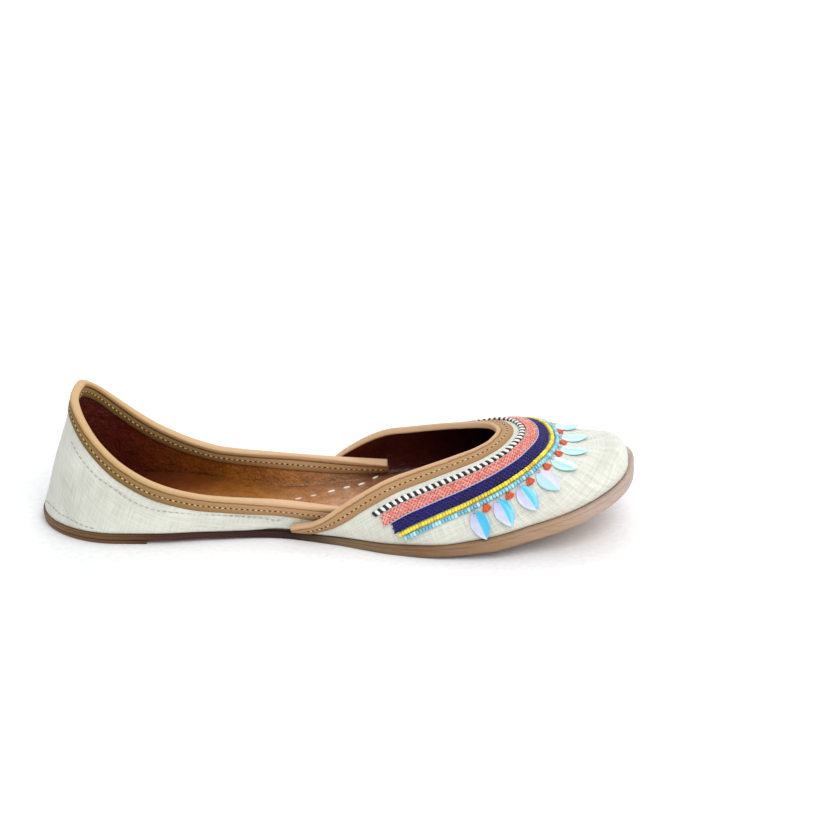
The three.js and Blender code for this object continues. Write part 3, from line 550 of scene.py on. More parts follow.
def grained_leather(name, stops, grain, depth, rough, coat=0.0):
    """Tanned leather: a pebbled grain breaks up its soft shine, and its colour changes from heel to toe.
    Stops give the colour by share of the shoe's length; they carry painted shade and light."""
    material, add = blank_material(name)
    place = add("ShaderNodeTexCoord").outputs["Object"]
    cells = add("ShaderNodeTexVoronoi", {"Vector": place, "Scale": 1 / (grain * MM), "Smoothness": 0.6},
                feature="SMOOTH_F1").outputs["Distance"]
    crinkle = {"Vector": place, "Scale": 0.25 / (grain * MM), "Detail": 4.0}
    wrinkles = add("ShaderNodeTexNoise", crinkle).outputs["Fac"]
    patches = add("ShaderNodeTexNoise", {"Vector": place, "Scale": 45.0, "Detail": 3.0}).outputs["Fac"]
    along = add("ShaderNodeSeparateXYZ", {0: place}).outputs[0]
    span = {0: along, 1: -HALF_LENGTH, 2: HALF_LENGTH, 3: -0.06, 4: 0.94}
    share = add("ShaderNodeMapRange", span).outputs[0]
    strayed = add("ShaderNodeMath", {0: patches, 1: 0.12, 2: share}, operation="MULTIPLY_ADD").outputs[0]
    # Colour along the shoe from the stops, which carry painted shade and light
    tone_along_length = add("ShaderNodeValToRGB", {0: strayed}, stops).outputs[0]
    mottle = add("ShaderNodeMath", {0: cells, 1: 0.55, 2: wrinkles}, operation="MULTIPLY_ADD").outputs[0]
    value = add("ShaderNodeMapRange", {0: mottle, 1: 0.45, 2: 1.05, 3: 1.3, 4: 0.66}).outputs[0]
    base = add("ShaderNodeHueSaturation", {"Color": tone_along_length, "Value": value}).outputs[0]
    pebbles = add("ShaderNodeBump", {"Height": cells, "Distance": -depth * MM}).outputs[0]
    creasing = {"Height": wrinkles, "Distance": 3 * depth * MM, "Normal": pebbles}
    creases = add("ShaderNodeBump", creasing).outputs[0]
    shader = add("ShaderNodeBsdfPrincipled", {
        "Base Color": base, "Roughness": rough, "Coat Weight": coat, "Coat Roughness": 0.35,
        "Specular IOR Level": 0.4, "Normal": creases,
    }).outputs[0]
    add("ShaderNodeOutputMaterial", {"Surface": shader})
    return material


def binding_leather(name):
    """Tan kid leather turned over the edges: the rim is lighter, a painted highlight, a crease lies below
    it with a painted shadow in it, and the flat part is browner, olive round the heel."""
    material, add = blank_material(name)
    measured = add("ShaderNodeUVMap", uv_map="Measured").outputs[0]
    run = add("ShaderNodeSeparateXYZ", {0: measured}).outputs[1]
    mottle = add("ShaderNodeTexNoise", {"Vector": measured, "Scale": 0.3, "Detail": 4.0}).outputs["Fac"]
    grain = add("ShaderNodeTexVoronoi", {"Vector": measured, "Scale": 2.4}).outputs["Distance"]
    strayed = add("ShaderNodeMath", {0: mottle, 1: 0.9, 2: run}, operation="MULTIPLY_ADD").outputs[0]
    spread = add("ShaderNodeMapRange", {0: strayed, 1: -0.5, 2: 7.5}).outputs[0]
    # By share of the width: the light rim is a painted highlight and the dark crease a painted shadow, then
    # the flat part
    front_lit_rim_shaded_crease = [(0.0, "#d2ae88"), (0.21, "#c69e74"), (0.28, "#8a6640"), (0.35, "#b48c62"), (0.85, "#a07a50")]
    darker = [(0.0, "#c9a675"), (0.21, "#b99260"), (0.28, "#5e4520"), (0.35, "#8c6c3a"), (0.85, "#745622")]
    front = add("ShaderNodeValToRGB", {0: spread}, front_lit_rim_shaded_crease).outputs[0]
    heel = add("ShaderNodeValToRGB", {0: spread}, darker).outputs[0]
    place = add("ShaderNodeTexCoord").outputs["Object"]
    along = add("ShaderNodeSeparateXYZ", {0: place}).outputs[0]
    share = add("ShaderNodeMapRange", {0: along, 1: -90 * MM, 2: -25 * MM}).outputs[0]
    base = add("ShaderNodeMix", {0: share, 6: heel, 7: front}, data_type="RGBA").outputs[2]
    fine = add("ShaderNodeBump", {"Height": grain, "Distance": 0.06 * MM}).outputs[0]
    coarse = add("ShaderNodeBump", {"Height": mottle, "Distance": 0.3 * MM, "Normal": fine}).outputs[0]
    shader = add("ShaderNodeBsdfPrincipled", {
        "Base Color": base, "Roughness": 0.6, "Specular IOR Level": 0.3, "Normal": coarse,
    }).outputs[0]
    add("ShaderNodeOutputMaterial", {"Surface": shader})
    return material


def sole_leather(name, stops, grain, depth):
    """Vegetable tanned sole leather, scraped: fibres run along it. Stops give the colour by share of the
    shoe's length; the edge's stops darken it at the waist, a painted shade."""
    material, add = blank_material(name)
    place = add("ShaderNodeTexCoord").outputs["Object"]
    stretched = add("ShaderNodeMapping", {"Vector": place, "Scale": grain}).outputs[0]
    fibres = add("ShaderNodeTexNoise", {"Vector": stretched, "Scale": 1.0, "Detail": 5.0}).outputs["Fac"]
    patches = add("ShaderNodeTexNoise", {"Vector": place, "Scale": 30.0, "Detail": 3.0}).outputs["Fac"]
    along = add("ShaderNodeSeparateXYZ", {0: place}).outputs[0]
    span = {0: along, 1: -HALF_LENGTH, 2: HALF_LENGTH, 3: -0.05, 4: 0.95}
    share = add("ShaderNodeMapRange", span).outputs[0]
    strayed = add("ShaderNodeMath", {0: patches, 1: 0.1, 2: share}, operation="MULTIPLY_ADD").outputs[0]
    # Colour along the shoe from the stops; the edge's carry a painted shade at the waist
    tone_along_length = add("ShaderNodeValToRGB", {0: strayed}, stops).outputs[0]
    value = add("ShaderNodeMapRange", {0: fibres, 1: 0.3, 2: 0.7, 3: 0.88, 4: 1.12}).outputs[0]
    base = add("ShaderNodeHueSaturation", {"Color": tone_along_length, "Value": value}).outputs[0]
    bump = add("ShaderNodeBump", {"Height": fibres, "Distance": depth * MM}).outputs[0]
    shader = add("ShaderNodeBsdfPrincipled", {
        "Base Color": base, "Roughness": 0.66, "Specular IOR Level": 0.35, "Normal": bump,
    }).outputs[0]
    add("ShaderNodeOutputMaterial", {"Surface": shader})
    return material


def thread(name, light, dark, rough=0.7, sheen=0.3, ply=0.45):
    """Twisted embroidery thread: fine slanting ply marks, and each stitch a slightly different shade."""
    material, add = blank_material(name)
    place = add("ShaderNodeTexCoord").outputs["Object"]
    own = add("ShaderNodeAttribute", attribute_name="shade").outputs["Fac"]
    plies = add("ShaderNodeTexWave", {"Vector": place, "Scale": WAVE_PERIOD / (ply * MM)},
                bands_direction="DIAGONAL").outputs["Fac"]
    fuzz = add("ShaderNodeTexNoise", {"Vector": place, "Scale": 1800.0, "Detail": 2.0}).outputs["Fac"]
    found = add("ShaderNodeCombineXYZ", {0: own, 1: fuzz}).outputs[0]
    tone = add("ShaderNodeVectorMath", {0: found, 1: (0.7, 0.3, 0.0)}, operation="DOT_PRODUCT").outputs[1]
    base = add("ShaderNodeValToRGB", {0: tone}, [(0.1, dark), (0.75, light)]).outputs[0]
    twist = add("ShaderNodeBump", {"Height": plies, "Distance": 0.07 * MM}).outputs[0]
    bump = add("ShaderNodeBump", {"Height": fuzz, "Distance": 0.05 * MM, "Normal": twist}).outputs[0]
    shader = add("ShaderNodeBsdfPrincipled", {
        "Base Color": base, "Roughness": rough, "Sheen Weight": sheen, "Sheen Roughness": 0.4,
        "Normal": bump,
    }).outputs[0]
    add("ShaderNodeOutputMaterial", {"Surface": shader})
    return material


def seed_bead(name, light, middle, dark, rough=0.16, transmission=0.0):
    """Glass seed beads: small hard highlights, and no two quite the same colour."""
    material, add = blank_material(name)
    own = add("ShaderNodeAttribute", attribute_name="shade").outputs["Fac"]
    place = add("ShaderNodeTexCoord").outputs["Object"]
    streaks = add("ShaderNodeTexNoise", {"Vector": place, "Scale": 900.0, "Detail": 2.0}).outputs["Fac"]
    found = add("ShaderNodeCombineXYZ", {0: own, 1: streaks}).outputs[0]
    tone = add("ShaderNodeVectorMath", {0: found, 1: (0.8, 0.2, 0.0)}, operation="DOT_PRODUCT").outputs[1]
    base = add("ShaderNodeValToRGB", {0: tone}, [(0.12, dark), (0.5, middle), (0.88, light)]).outputs[0]
    bump = add("ShaderNodeBump", {"Height": streaks, "Distance": 0.03 * MM}).outputs[0]
    shader = add("ShaderNodeBsdfPrincipled", {
        "Base Color": base, "Roughness": rough, "IOR": 1.5, "Coat Weight": 0.6, "Coat Roughness": 0.06,
        "Transmission Weight": transmission, "Normal": bump,
    }).outputs[0]
    add("ShaderNodeOutputMaterial", {"Surface": shader})
    return material


def sequin_film(name, first, second, rim):
    """Pearl-coated plastic film: the two halves of the folded leaf are painted in different colours, each
    from its stem to its tip, a painted reflection of the pearl coat."""
    material, add = blank_material(name)
    measured = add("ShaderNodeUVMap", uv_map="Measured").outputs[0]
    parts = add("ShaderNodeSeparateXYZ", {0: measured}).outputs
    cloud = add("ShaderNodeTexNoise", {"Vector": measured, "Scale": 0.25, "Detail": 2.0}).outputs["Fac"]
    side = add("ShaderNodeMapRange", {0: parts[1], 1: -0.2, 2: 0.2}).outputs[0]
    stem, tip = [
        add("ShaderNodeMix", {0: side, 6: colour(near), 7: colour(far)}, data_type="RGBA").outputs[2]
        for near, far in zip(first, second)
    ]
    drift = add("ShaderNodeMath", {0: parts[0], 1: 1 / LEAF_LENGTH, 2: cloud}, operation="MULTIPLY_ADD")
    share = add("ShaderNodeMapRange", {0: drift.outputs[0], 1: 0.5, 2: 1.5}).outputs[0]
    body = add("ShaderNodeMix", {0: share, 6: stem, 7: tip}, data_type="RGBA").outputs[2]
    aside = add("ShaderNodeMath", {0: parts[1]}, operation="ABSOLUTE").outputs[0]
    border = {0: aside, 1: LEAF_WIDTH / 2 - 0.9, 2: LEAF_WIDTH / 2, 4: 0.7}
    edge = add("ShaderNodeMapRange", border).outputs[0]
    base = add("ShaderNodeMix", {0: edge, 6: body, 7: colour(rim)}, data_type="RGBA").outputs[2]
    bump = add("ShaderNodeBump", {"Height": cloud, "Distance": 0.08 * MM}).outputs[0]
    shader = add("ShaderNodeBsdfPrincipled", {
        "Base Color": base, "Roughness": 0.24, "IOR": 1.49, "Coat Weight": 0.5, "Coat Roughness": 0.12,
        "Normal": bump,
    }).outputs[0]
    add("ShaderNodeOutputMaterial", {"Surface": shader})
    return material


def speckled(name, light, dark, scale, rough=0.9):
    """A matt surface of two close shades: the painted shade in an awl hole, or the fibres of a paper floor.
    """
    material, add = blank_material(name)
    place = add("ShaderNodeTexCoord").outputs["Object"]
    dust = add("ShaderNodeTexNoise", {"Vector": place, "Scale": scale}).outputs["Fac"]
    base = add("ShaderNodeValToRGB", {0: dust}, [(0.3, dark), (0.7, light)]).outputs[0]
    shader = add("ShaderNodeBsdfPrincipled", {"Base Color": base, "Roughness": rough}).outputs[0]
    add("ShaderNodeOutputMaterial", {"Surface": shader})
    return material


SILK = raw_silk("Raw silk, handloomed", "#e6e6da", "#d8d8cb", "#bebdae")
# Lining and insole colour by share of the length: the deep maroon at the heel and under the vamp is painted
# shade inside the shoe, and the golden middle, where light falls in, is painted light
LINING_SHADE_AND_LIGHT_STOPS = [
    (0.0, "#3a0800"), (0.12, "#551503"), (0.2, "#6b2d08"), (0.28, "#85490c"), (0.36, "#985c1a"),
    (0.44, "#ad7444"), (0.52, "#bb8a66"), (0.6, "#a06440"), (0.68, "#6a2a14"), (0.8, "#3a0a04"),
]
LINING = grained_leather("Goat lining leather, glazed", LINING_SHADE_AND_LIGHT_STOPS, 1.2, 0.3, 0.46, 0.12)
# The vamp's lining, inside the toe: dark all over, a painted shade
VAMP_LINING_SHADE_STOPS = [(0.0, "#6a2a10"), (0.5, "#54150a"), (0.6, "#420903"), (0.75, "#240202")]
DARK_LINING = grained_leather("Goat lining leather, painted dark for shade", VAMP_LINING_SHADE_STOPS, 1.2, 0.2, 0.5, 0.1)
INSOCK = grained_leather("Sheep insole leather", LINING_SHADE_AND_LIGHT_STOPS, 1.1, 0.1, 0.5, 0.1)
BINDING = binding_leather("Kid binding leather, tan")
# The edge's colour along the shoe; its dark waist is a painted shade where the edge lies in shadow
EDGE = sole_leather("Sole leather edge, scraped", [
    (0.0, "#83624a"), (0.1, "#6b4b2a"), (0.22, "#472012"), (0.32, "#331008"), (0.44, "#2a0c07"),
    (0.55, "#7c6548"), (0.66, "#7a583d"), (0.78, "#98795b"), (0.88, "#a98b72"), (0.98, "#b5a195"),
], (90.0, 90.0, 1500.0), 0.2)
TREAD_SIDE = sole_leather("Sole leather, buffed and walked on", [
    (0.0, "#6d4f3b"), (0.3, "#7a5a45"), (0.6, "#5f4535"), (1.0, "#96745c"),
], (40.0, 900.0, 40.0), 0.12)
# Dark brown all along: a painted shadow in the gap between the cloth and the sole
MARGIN_GAP_SHADOW_STOPS = [(0.0, "#3d2413"), (1.0, "#4a2e1a")]
MARGIN = grained_leather("Lasting margin, painted dark for gap shadow", MARGIN_GAP_SHADOW_STOPS, 0.7, 0.1, 0.7)
BLACK_SATIN = thread("Satin cord, black", "#121216", "#030304", 0.5, 0.0, 0.3)
WHITE_SATIN = thread("Satin cord, white", "#fbfbf8", "#e6e4e0", 0.45, 0.1, 0.3)
PINK_THREAD = thread("Stranded silk thread, coral pink", "#f4a99a", "#da7468")
PINK_GROUND = thread("Silk ground stitching, coral", "#dd857a", "#b9605a")
NAVY_THREAD = thread("Stranded silk thread, navy", "#20127c", "#0c0452", 0.55, 0.04)
NAVY_GROUND = thread("Silk ground stitching, dark navy", "#0c0444", "#060226", 0.7, 0.04)
SILVER = thread("Lurex thread, silver", "#e2daea", "#b4a8c0", rough=0.35, sheen=0.0, ply=0.3)
ORANGE_THREAD = thread("Stranded silk thread, orange", "#e05a24", "#bc3c10", 0.5, 0.1)
GREY_THREAD = thread("Sewing thread, grey linen", "#b0b0a0", "#86867a", ply=0.25)
TAN_THREAD = thread("Sewing thread, tan linen", "#e0caa0", "#c8ac70", ply=0.25)
WHITE_THREAD = thread("Waxed saddle thread, white", "#f5f1e6", "#d8d0be", ply=0.3)
YELLOW_GLASS = seed_bead("Opaque glass seed beads, yellow", "#f8e634", "#f0d414", "#dcb80a")
BLUE_GLASS = seed_bead("Pearled glass seed beads, pale blue", "#b8e6f4", "#7ccce4", "#5cb2d8")
CLEAR_GLASS = seed_bead("Clear glass seed beads", "#ffffff", "#eef4f8", "#cfdbe4", 0.05, 0.7)
BEAD_THREAD = thread("Beading thread, dark", "#8a7a40", "#4a5a60", ply=0.25)
# Dark inside of an awl or pierced hole: painted shade
HOLE = speckled("Awl hole, painted dark for shade", "#3a2408", "#241404", 2500.0)
PAPER = speckled("Paper floor, white", "#fcfcfc", "#f4f4f4", 400.0)


# Small pieces laid out by nodes

def laying_tree(shape):
    """A tree that lays grains or beads on marked spots. Each gets its own size and shade."""
    tree = bpy.data.node_groups.new(f"Lay {shape}s", "GeometryNodeTree")
    inputs = [("Spots", "NodeSocketGeometry"), ("Length", "NodeSocketFloat"), ("Width", "NodeSocketFloat"),
              ("Height", "NodeSocketFloat"), ("Unevenness", "NodeSocketFloat"), ("Seed", "NodeSocketInt"),
              ("Finish", "NodeSocketMaterial")]
    for name, kind in inputs:
        tree.interface.new_socket(name, in_out="INPUT", socket_type=kind)
    tree.interface.new_socket("Pieces", in_out="OUTPUT", socket_type="NodeSocketGeometry")
    given = node(tree, "NodeGroupInput").outputs
    if shape == "bead":
        ring = node(tree, "GeometryNodeCurvePrimitiveCircle", {"Resolution": 10, "Radius": 0.31})
        section = node(tree, "GeometryNodeCurvePrimitiveCircle", {"Resolution": 7, "Radius": 0.19})
        body = node(tree, "GeometryNodeCurveToMesh",
                    {"Curve": ring.outputs[0], "Profile Curve": section.outputs[0]}).outputs[0]
        size = node(tree, "ShaderNodeCombineXYZ",
                    {0: given["Height"], 1: given["Width"],
                     2: node(tree, "ShaderNodeMath", {0: given["Length"], 1: 0.38},
                             operation="DIVIDE").outputs[0]}).outputs[0]
    else:
        body = node(tree, "GeometryNodeMeshUVSphere", {"Segments": 8, "Rings": 6, "Radius": 0.5}).outputs[0]
        size = node(tree, "ShaderNodeCombineXYZ",
                    {0: given["Length"], 1: given["Width"], 2: given["Height"]}).outputs[0]
    smooth = node(tree, "GeometryNodeSetShadeSmooth", {0: body}).outputs[0]
    facing = node(tree, "GeometryNodeInputNamedAttribute", {"Name": "facing"}, data_type="FLOAT_VECTOR")
    heading = node(tree, "GeometryNodeInputNamedAttribute", {"Name": "heading"}, data_type="FLOAT_VECTOR")
    turn = node(tree, "FunctionNodeAxesToRotation", {0: facing.outputs[0], 1: heading.outputs[0]},
                primary_axis="Z", secondary_axis="X")
    low = node(tree, "ShaderNodeMath", {0: 1.0, 1: given["Unevenness"]}, operation="SUBTRACT").outputs[0]
    high = node(tree, "ShaderNodeMath", {0: 1.0, 1: given["Unevenness"]}, operation="ADD").outputs[0]
    vary = node(tree, "FunctionNodeRandomValue", data_type="FLOAT")
    for key, value in (("Min", low), ("Max", high)):
        tree.links.new(value, next(s for s in vary.inputs if s.name == key and s.type == "VALUE"))
    tree.links.new(given["Seed"], vary.inputs["Seed"])
    grown = node(tree, "ShaderNodeVectorMath", {0: size}, operation="SCALE")
    scatter = next(s for s in vary.outputs if s.type == "VALUE")
    tree.links.new(scatter, grown.inputs["Scale"])
    laid = node(tree, "GeometryNodeInstanceOnPoints",
                {"Points": given["Spots"], "Instance": smooth, "Rotation": turn.outputs[0],
                 "Scale": grown.outputs[0]})
    shade = node(tree, "FunctionNodeRandomValue", data_type="FLOAT")
    tree.links.new(given["Seed"], shade.inputs["Seed"])
    value = next(s for s in shade.outputs if s.type == "VALUE")
    kept = node(tree, "GeometryNodeStoreNamedAttribute", {"Geometry": laid.outputs[0], "Name": "shade"},
                data_type="FLOAT", domain="INSTANCE")
    tree.links.new(value, next(s for s in kept.inputs if s.name == "Value" and s.type == "VALUE"))
    real = node(tree, "GeometryNodeRealizeInstances", {0: kept.outputs[0]})
    dyed = node(tree, "GeometryNodeSetMaterial", {"Geometry": real.outputs[0], "Material": given["Finish"]})
    node(tree, "NodeGroupOutput", {0: dyed.outputs[0]})
    return tree


LAYING = {shape: laying_tree(shape) for shape in ("grain", "bead")}


def lay(name, shape, spots, size, material, unevenness=0.06, seed=1):
    """Lays grains or beads on spots (points, facings, headings) and makes them one plain mesh."""
    points, facings, headings = spots
    marks = bpy.data.meshes.new(f"{name} spots")
    marks.from_pydata(((points - (LENGTH / 2, 0, 0)) * MM).tolist(), [], [])
    for key, vectors in (("facing", facings), ("heading", headings)):
        layer = marks.attributes.new(key, "FLOAT_VECTOR", "POINT")
        layer.data.foreach_set("vector", np.asarray(vectors, np.float32).ravel())
    holder = bpy.data.objects.new(f"{name} spots", marks)
    bpy.context.scene.collection.objects.link(holder)
    modifier = holder.modifiers.new("Lay", "NODES")
    modifier.node_group = LAYING[shape]
    keys = {item.name: item.identifier for item in LAYING[shape].interface.items_tree}
    length, width, height = [v * MM for v in size]
    values = {"Length": length, "Width": width, "Height": height, "Unevenness": unevenness,
              "Seed": seed, "Finish": material}
    for key, value in values.items():
        modifier[keys[key]] = value
    done = holder.evaluated_get(bpy.context.evaluated_depsgraph_get())
    mesh = bpy.data.meshes.new_from_object(done)
    mesh.name = name
    bpy.data.objects.remove(holder)
    piece = bpy.data.objects.new(name, mesh)
    bpy.context.scene.collection.objects.link(piece)
    return piece


def several(parts):
    """Several sets of spots as one."""
    return [np.concatenate(columns) for columns in zip(*parts)]


# Upper

# Soft troughs and swells of the vamp: across, run, breadth and length in millimetres, depth
VAMP_FOLDS = [
    (-0.52, 26, 6, 16, -0.35),
    (-0.38, 31, 5, 12, 0.3),
    (-0.16, 34, 7, 14, -0.3),
    (0.12, 36, 6, 12, -0.25),
    (0.44, 29, 6, 16, -0.35),
    (-0.02, 42, 16, 7, 0.35),
    (0.6, 22, 5, 12, 0.3),
]
# The same for the quarters
QUARTER_FOLDS = [
    (0.34, 12, 12, 7, -0.4),
    (0.5, 10, 9, 5, 0.3),
    (0.68, 9, 10, 4, -0.3),
    (-0.36, 12, 12, 7, -0.4),
    (-0.6, 9, 10, 4, 0.3),
    (0.06, 30, 14, 10, 0.35),
    (-0.1, 44, 10, 8, -0.3),
]
LASTING_DRAW = 0.45  # how far the cloth turns in where it is drawn under to the sole
LASTING_REACH = 1.6


def folds(skin, table, across, run):
    """How far the cloth stands off its pattern, in millimetres."""
    edge = skin.at(skin.across, 0.0)
    along = np.concatenate([[0], np.cumsum(np.linalg.norm(np.diff(edge, axis=0), axis=1))])
    place = np.interp(across, skin.across, along)
    total = np.zeros(np.broadcast(across, run).shape)
    for spot, middle, breadth, length, depth in table:
        centre = np.interp(spot, skin.across, along)
        away = ((place - centre) / breadth) ** 2 + ((run - middle) / length) ** 2
        total = total + depth * np.exp(-away)
    left = skin.long(across) - run
    return total - LASTING_DRAW * np.clip(1 - left / LASTING_REACH, 0, 1) ** 2


def columns_of(count):
    t = np.linspace(-1, 1, count)
    return np.sign(t) * np.abs(t) ** COLUMN_CLOSING


def panel_grid(sheet, skin, table, count, rows):
    """Places and normals of a panel of the upper, with its folds."""
    across = columns_of(count)
    down = np.linspace(0, 1, rows)
    points = sheet(*np.meshgrid(across, down, indexing="ij"))
    steps = np.linalg.norm(np.diff(points, axis=1), axis=2)
    runs = np.concatenate([np.zeros((count, 1)), np.cumsum(steps, axis=1)], 1)
    normals = skin.normal(across[:, None], runs)
    level = normals[:, -1] * (1, 1, 0)
    blend = np.linspace(0, 1, rows)[None, :, None] ** 6
    normals = unit(mix(normals, unit(level)[:, None], blend))
    lift = folds(skin, table, across[:, None], runs)
    return points + normals * lift[..., None], normals, measured_uvs(skin, across, runs)


CLOTH_THICKNESS = 0.9


def upper_panel(name, sheet, skin, table, count, rows, leather):
    """The cloth of a panel and its leather lining, together as thick as the wall."""
    outer, normals, uvs = panel_grid(sheet, skin, table, count, rows)
    middle = outer - normals * CLOTH_THICKNESS
    inner = outer - normals * WALL
    points, faces = shell(outer, middle)
    cloth = make_piece(f"{name}_cloth", points, faces, SILK, np.tile(uvs, (2, 1)))
    points, faces = shell(middle - normals * 0.01, inner)
    lining = make_piece(f"{name}_lining", points, faces, leather, np.tile(uvs, (2, 1)))
    settle(cloth, "cloth", "upper")
    settle(lining, "lining_leather", "upper")


upper_panel("vamp", vamp_sheet, vamp_skin, VAMP_FOLDS, 261, 61, DARK_LINING)
upper_panel("quarters", quarter_sheet, quarter_skin, QUARTER_FOLDS, 241, 41, LINING)


def lasting_margin():
    """The strip of leather between upper and sole, seen as the dark line under the cloth; its dark colour
    is a painted shadow of the gap.
    """
    turn = np.linspace(0, 2 * np.pi, 361)[:-1]
    inset = 1.1
    x_near, x_far = HEEL_LEDGE + inset, VAMP_END - inset
    x = mix(x_near, x_far, (1 - np.cos(turn)) / 2)
    rings = []
    for further, level in ((0, -0.28), (0, 0.5), (1.0, 0.5), (1.0, -0.28)):
        half = plan_half(x, ledge(x) + inset + further)
        side = np.where(turn < np.pi, -1, 1) * half
        rings.append(np.stack([x, side, foot_level(x) + level], -1))
    rings = np.stack(rings, 1)
    rings = np.concatenate([rings, rings[:1]])
    points, faces = sweep(rings, closed_ends=False)
    margin = make_piece("lasting_margin", points, [tuple(f)[::-1] for f in faces], MARGIN)
    weld(margin)
    settle(margin, "sole_leather")


lasting_margin()


# Bindings

RIM_RISE = 0.95  # beyond the cloth's edge
RIM_OUTER, TOPLINE_INNER, VAMP_INNER = 0.95, -2.6, -1.9  # faces of the rim, from the cloth's face
SWAY_FINE, SWAY_BROAD = (0.06, 3.1, 0.0), (0.05, 7.3, 1.0)  # uneven hand work: depth, length, start
HOLE_PITCH = 2.3
HOLE_RUN = 0.6  # share of the binding's width
HOLE_RISE, INNER_HOLE_RISE = 0.68, -2.47
HOLE_SIZE, BINDING_STITCH = (1.05, 0.62, 0.2), (1.3, 0.4, 0.36)
LINE = np.linspace(-1, 1, 1201)


def binding_profile(outer, inner, inside):
    """Shares of the width, or millimetres beyond the edge, and offsets round a turned binding: a squarish
    rim, a crease below it, and a flat part. Inside False stops it just over the edge."""
    turn = np.linspace(0, np.pi, 17)
    squared = lambda v: np.sign(v) * np.abs(v) ** 0.7
    face = mix(inner, outer, 0.5 + squared(np.cos(turn)) / 2)
    rim = np.stack([-RIM_RISE * squared(np.sin(turn)), face], 1)
    top = [
        (1, 0.06), (1, 0.42), (0.97, 0.6), (0.7, 0.66), (0.45, 0.66), (0.29, 0.6), (0.24, 0.4),
        (0.2, 0.6), (0.15, outer - 0.12), (0.07, outer - 0.02),
    ]
    if not inside:
        return np.array([*top, *rim, (0.05, inner + 0.1), (0.05, 0.04)])
    under = [
        (0.08, inner), (0.19, inner + 0.1), (0.25, inner + 0.35), (0.29, inner + 0.6),
        (0.34, inner + 0.4), (0.6, inner + 0.15), (0.95, inner + 0.05), (1.0, inner + 0.2),
        (0.97, -2.12), (0.8, -1.9), (0.2, -WALL - 0.04),
    ]
    return np.array([*top, *rim, *under, (-0.2, -WALL / 2), (0.03, 0.04)])


def binding(name, skin, width_at, outer, inner, inside, node_name, count=361):
    """A strip of leather turned over a panel's edge, a little uneven along its length."""
    across = columns_of(count)
    width = width_at(across)
    profile = binding_profile(outer, inner, inside)
    runs = np.where(profile[None, :, 0] > 0, profile[None, :, 0] * width[:, None], profile[None, :, 0])
    edge = skin.at(across, 0.0)
    along = np.concatenate([[0], np.cumsum(np.linalg.norm(np.diff(edge, axis=0), axis=1))])
    sway = sum(d * np.sin(along / reach + start)[:, None] for d, reach, start in (SWAY_FINE, SWAY_BROAD))
    offsets = np.broadcast_to(profile[None, :, 1], runs.shape) + 0.4 * sway * (runs > 0.3)
    rings = skin.at(across[:, None], runs + sway * (runs > 3), offsets)
    uvs = np.stack(np.broadcast_arrays(along[:, None], runs), -1).reshape(-1, 2)
    points, faces = sweep(rings)
    piece = make_piece(name, points, faces, BINDING, uvs)
    weld(piece)
    settle(piece, "binding_leather", node_name)
    return piece


def vamp_binding_width(across):
    return np.minimum(VAMP_BINDING_WIDTH, vamp_skin.long(across) - FOOT_MARGIN)


binding("topline_binding_leather", quarter_skin, lambda a: np.full_like(a, QUARTER_BINDING_WIDTH),
        RIM_OUTER, TOPLINE_INNER, True, "topline_binding")
binding("vamp_binding_leather", vamp_skin, vamp_binding_width, RIM_OUTER, VAMP_INNER, False, "vamp_binding")

def binding_seams():
    """Awl holes in a row along both bindings, with a short tan stitch between each two."""
    line = LINE[40:-40]
    run = HOLE_RUN * QUARTER_BINDING_WIDTH
    paths = (
        trail(vamp_skin, line, HOLE_RUN * vamp_binding_width(line), HOLE_RISE),
        trail(quarter_skin, LINE, run, HOLE_RISE),
        trail(quarter_skin, LINE, run, INNER_HOLE_RISE),
    )
    holes = several([paced(*path, HOLE_PITCH, margin=2) for path in paths])
    # The holes are dark marks of painted shade
    settle(lay("binding_holes", "grain", holes, HOLE_SIZE, HOLE, 0.12, 3), "binding_leather")
    between = several([paced(*path, HOLE_PITCH, 0.5, 2) for path in paths])
    stitches = lay("binding_stitches", "grain", between, BINDING_STITCH, TAN_THREAD, 0.12, 4)
    settle(stitches, "binding_leather")


binding_seams()


# Ornament

CORD_PITCH = 2.7  # of each colour
CORD_SLANT = 0.5  # of the blocks along the row
CORD_BLOCK = (3.0, 1.6, 1.3)
CORD_RISE, WHITE_PROUD = 0.5, 0.12  # off the cloth, and the white blocks' own
BAND_RISE, STITCH_RISE, STRAND_RISE = 0.75, 0.92, 0.98
BEAD_SIZE = (1.4, 2.0, 1.85)
CHAIN_SPREAD = math.radians(24)  # of a link's strands


def band_ground(name, row, rise, material):
    """The flat stitched ground of a band, rounded at its edges."""
    start, stop = row_places[row]
    end = row_end(stop)
    across = np.linspace(-end, end, 301)
    share = np.array([0, 0.03, 0.12, 0.3, 0.5, 0.7, 0.88, 0.97, 1.0])
    crown = rise * np.array([0.1, 0.5, 0.85, 1, 1, 1, 0.85, 0.5, 0.1])
    runs = start + share * (stop - start)
    outer = vamp_skin.at(across[:, None], runs[None], 0.1 + crown[None])
    inner = vamp_skin.at(across[:, None], runs[None], 0.03)
    points, faces = shell(outer, inner)
    uvs = measured_uvs(vamp_skin, across, np.broadcast_to(runs[None], (len(across), len(runs))))
    return make_piece(name, points, faces, material, np.tile(uvs, (2, 1)))


CHAIN_ROWS = 5
CHAIN_LINK = 1.7


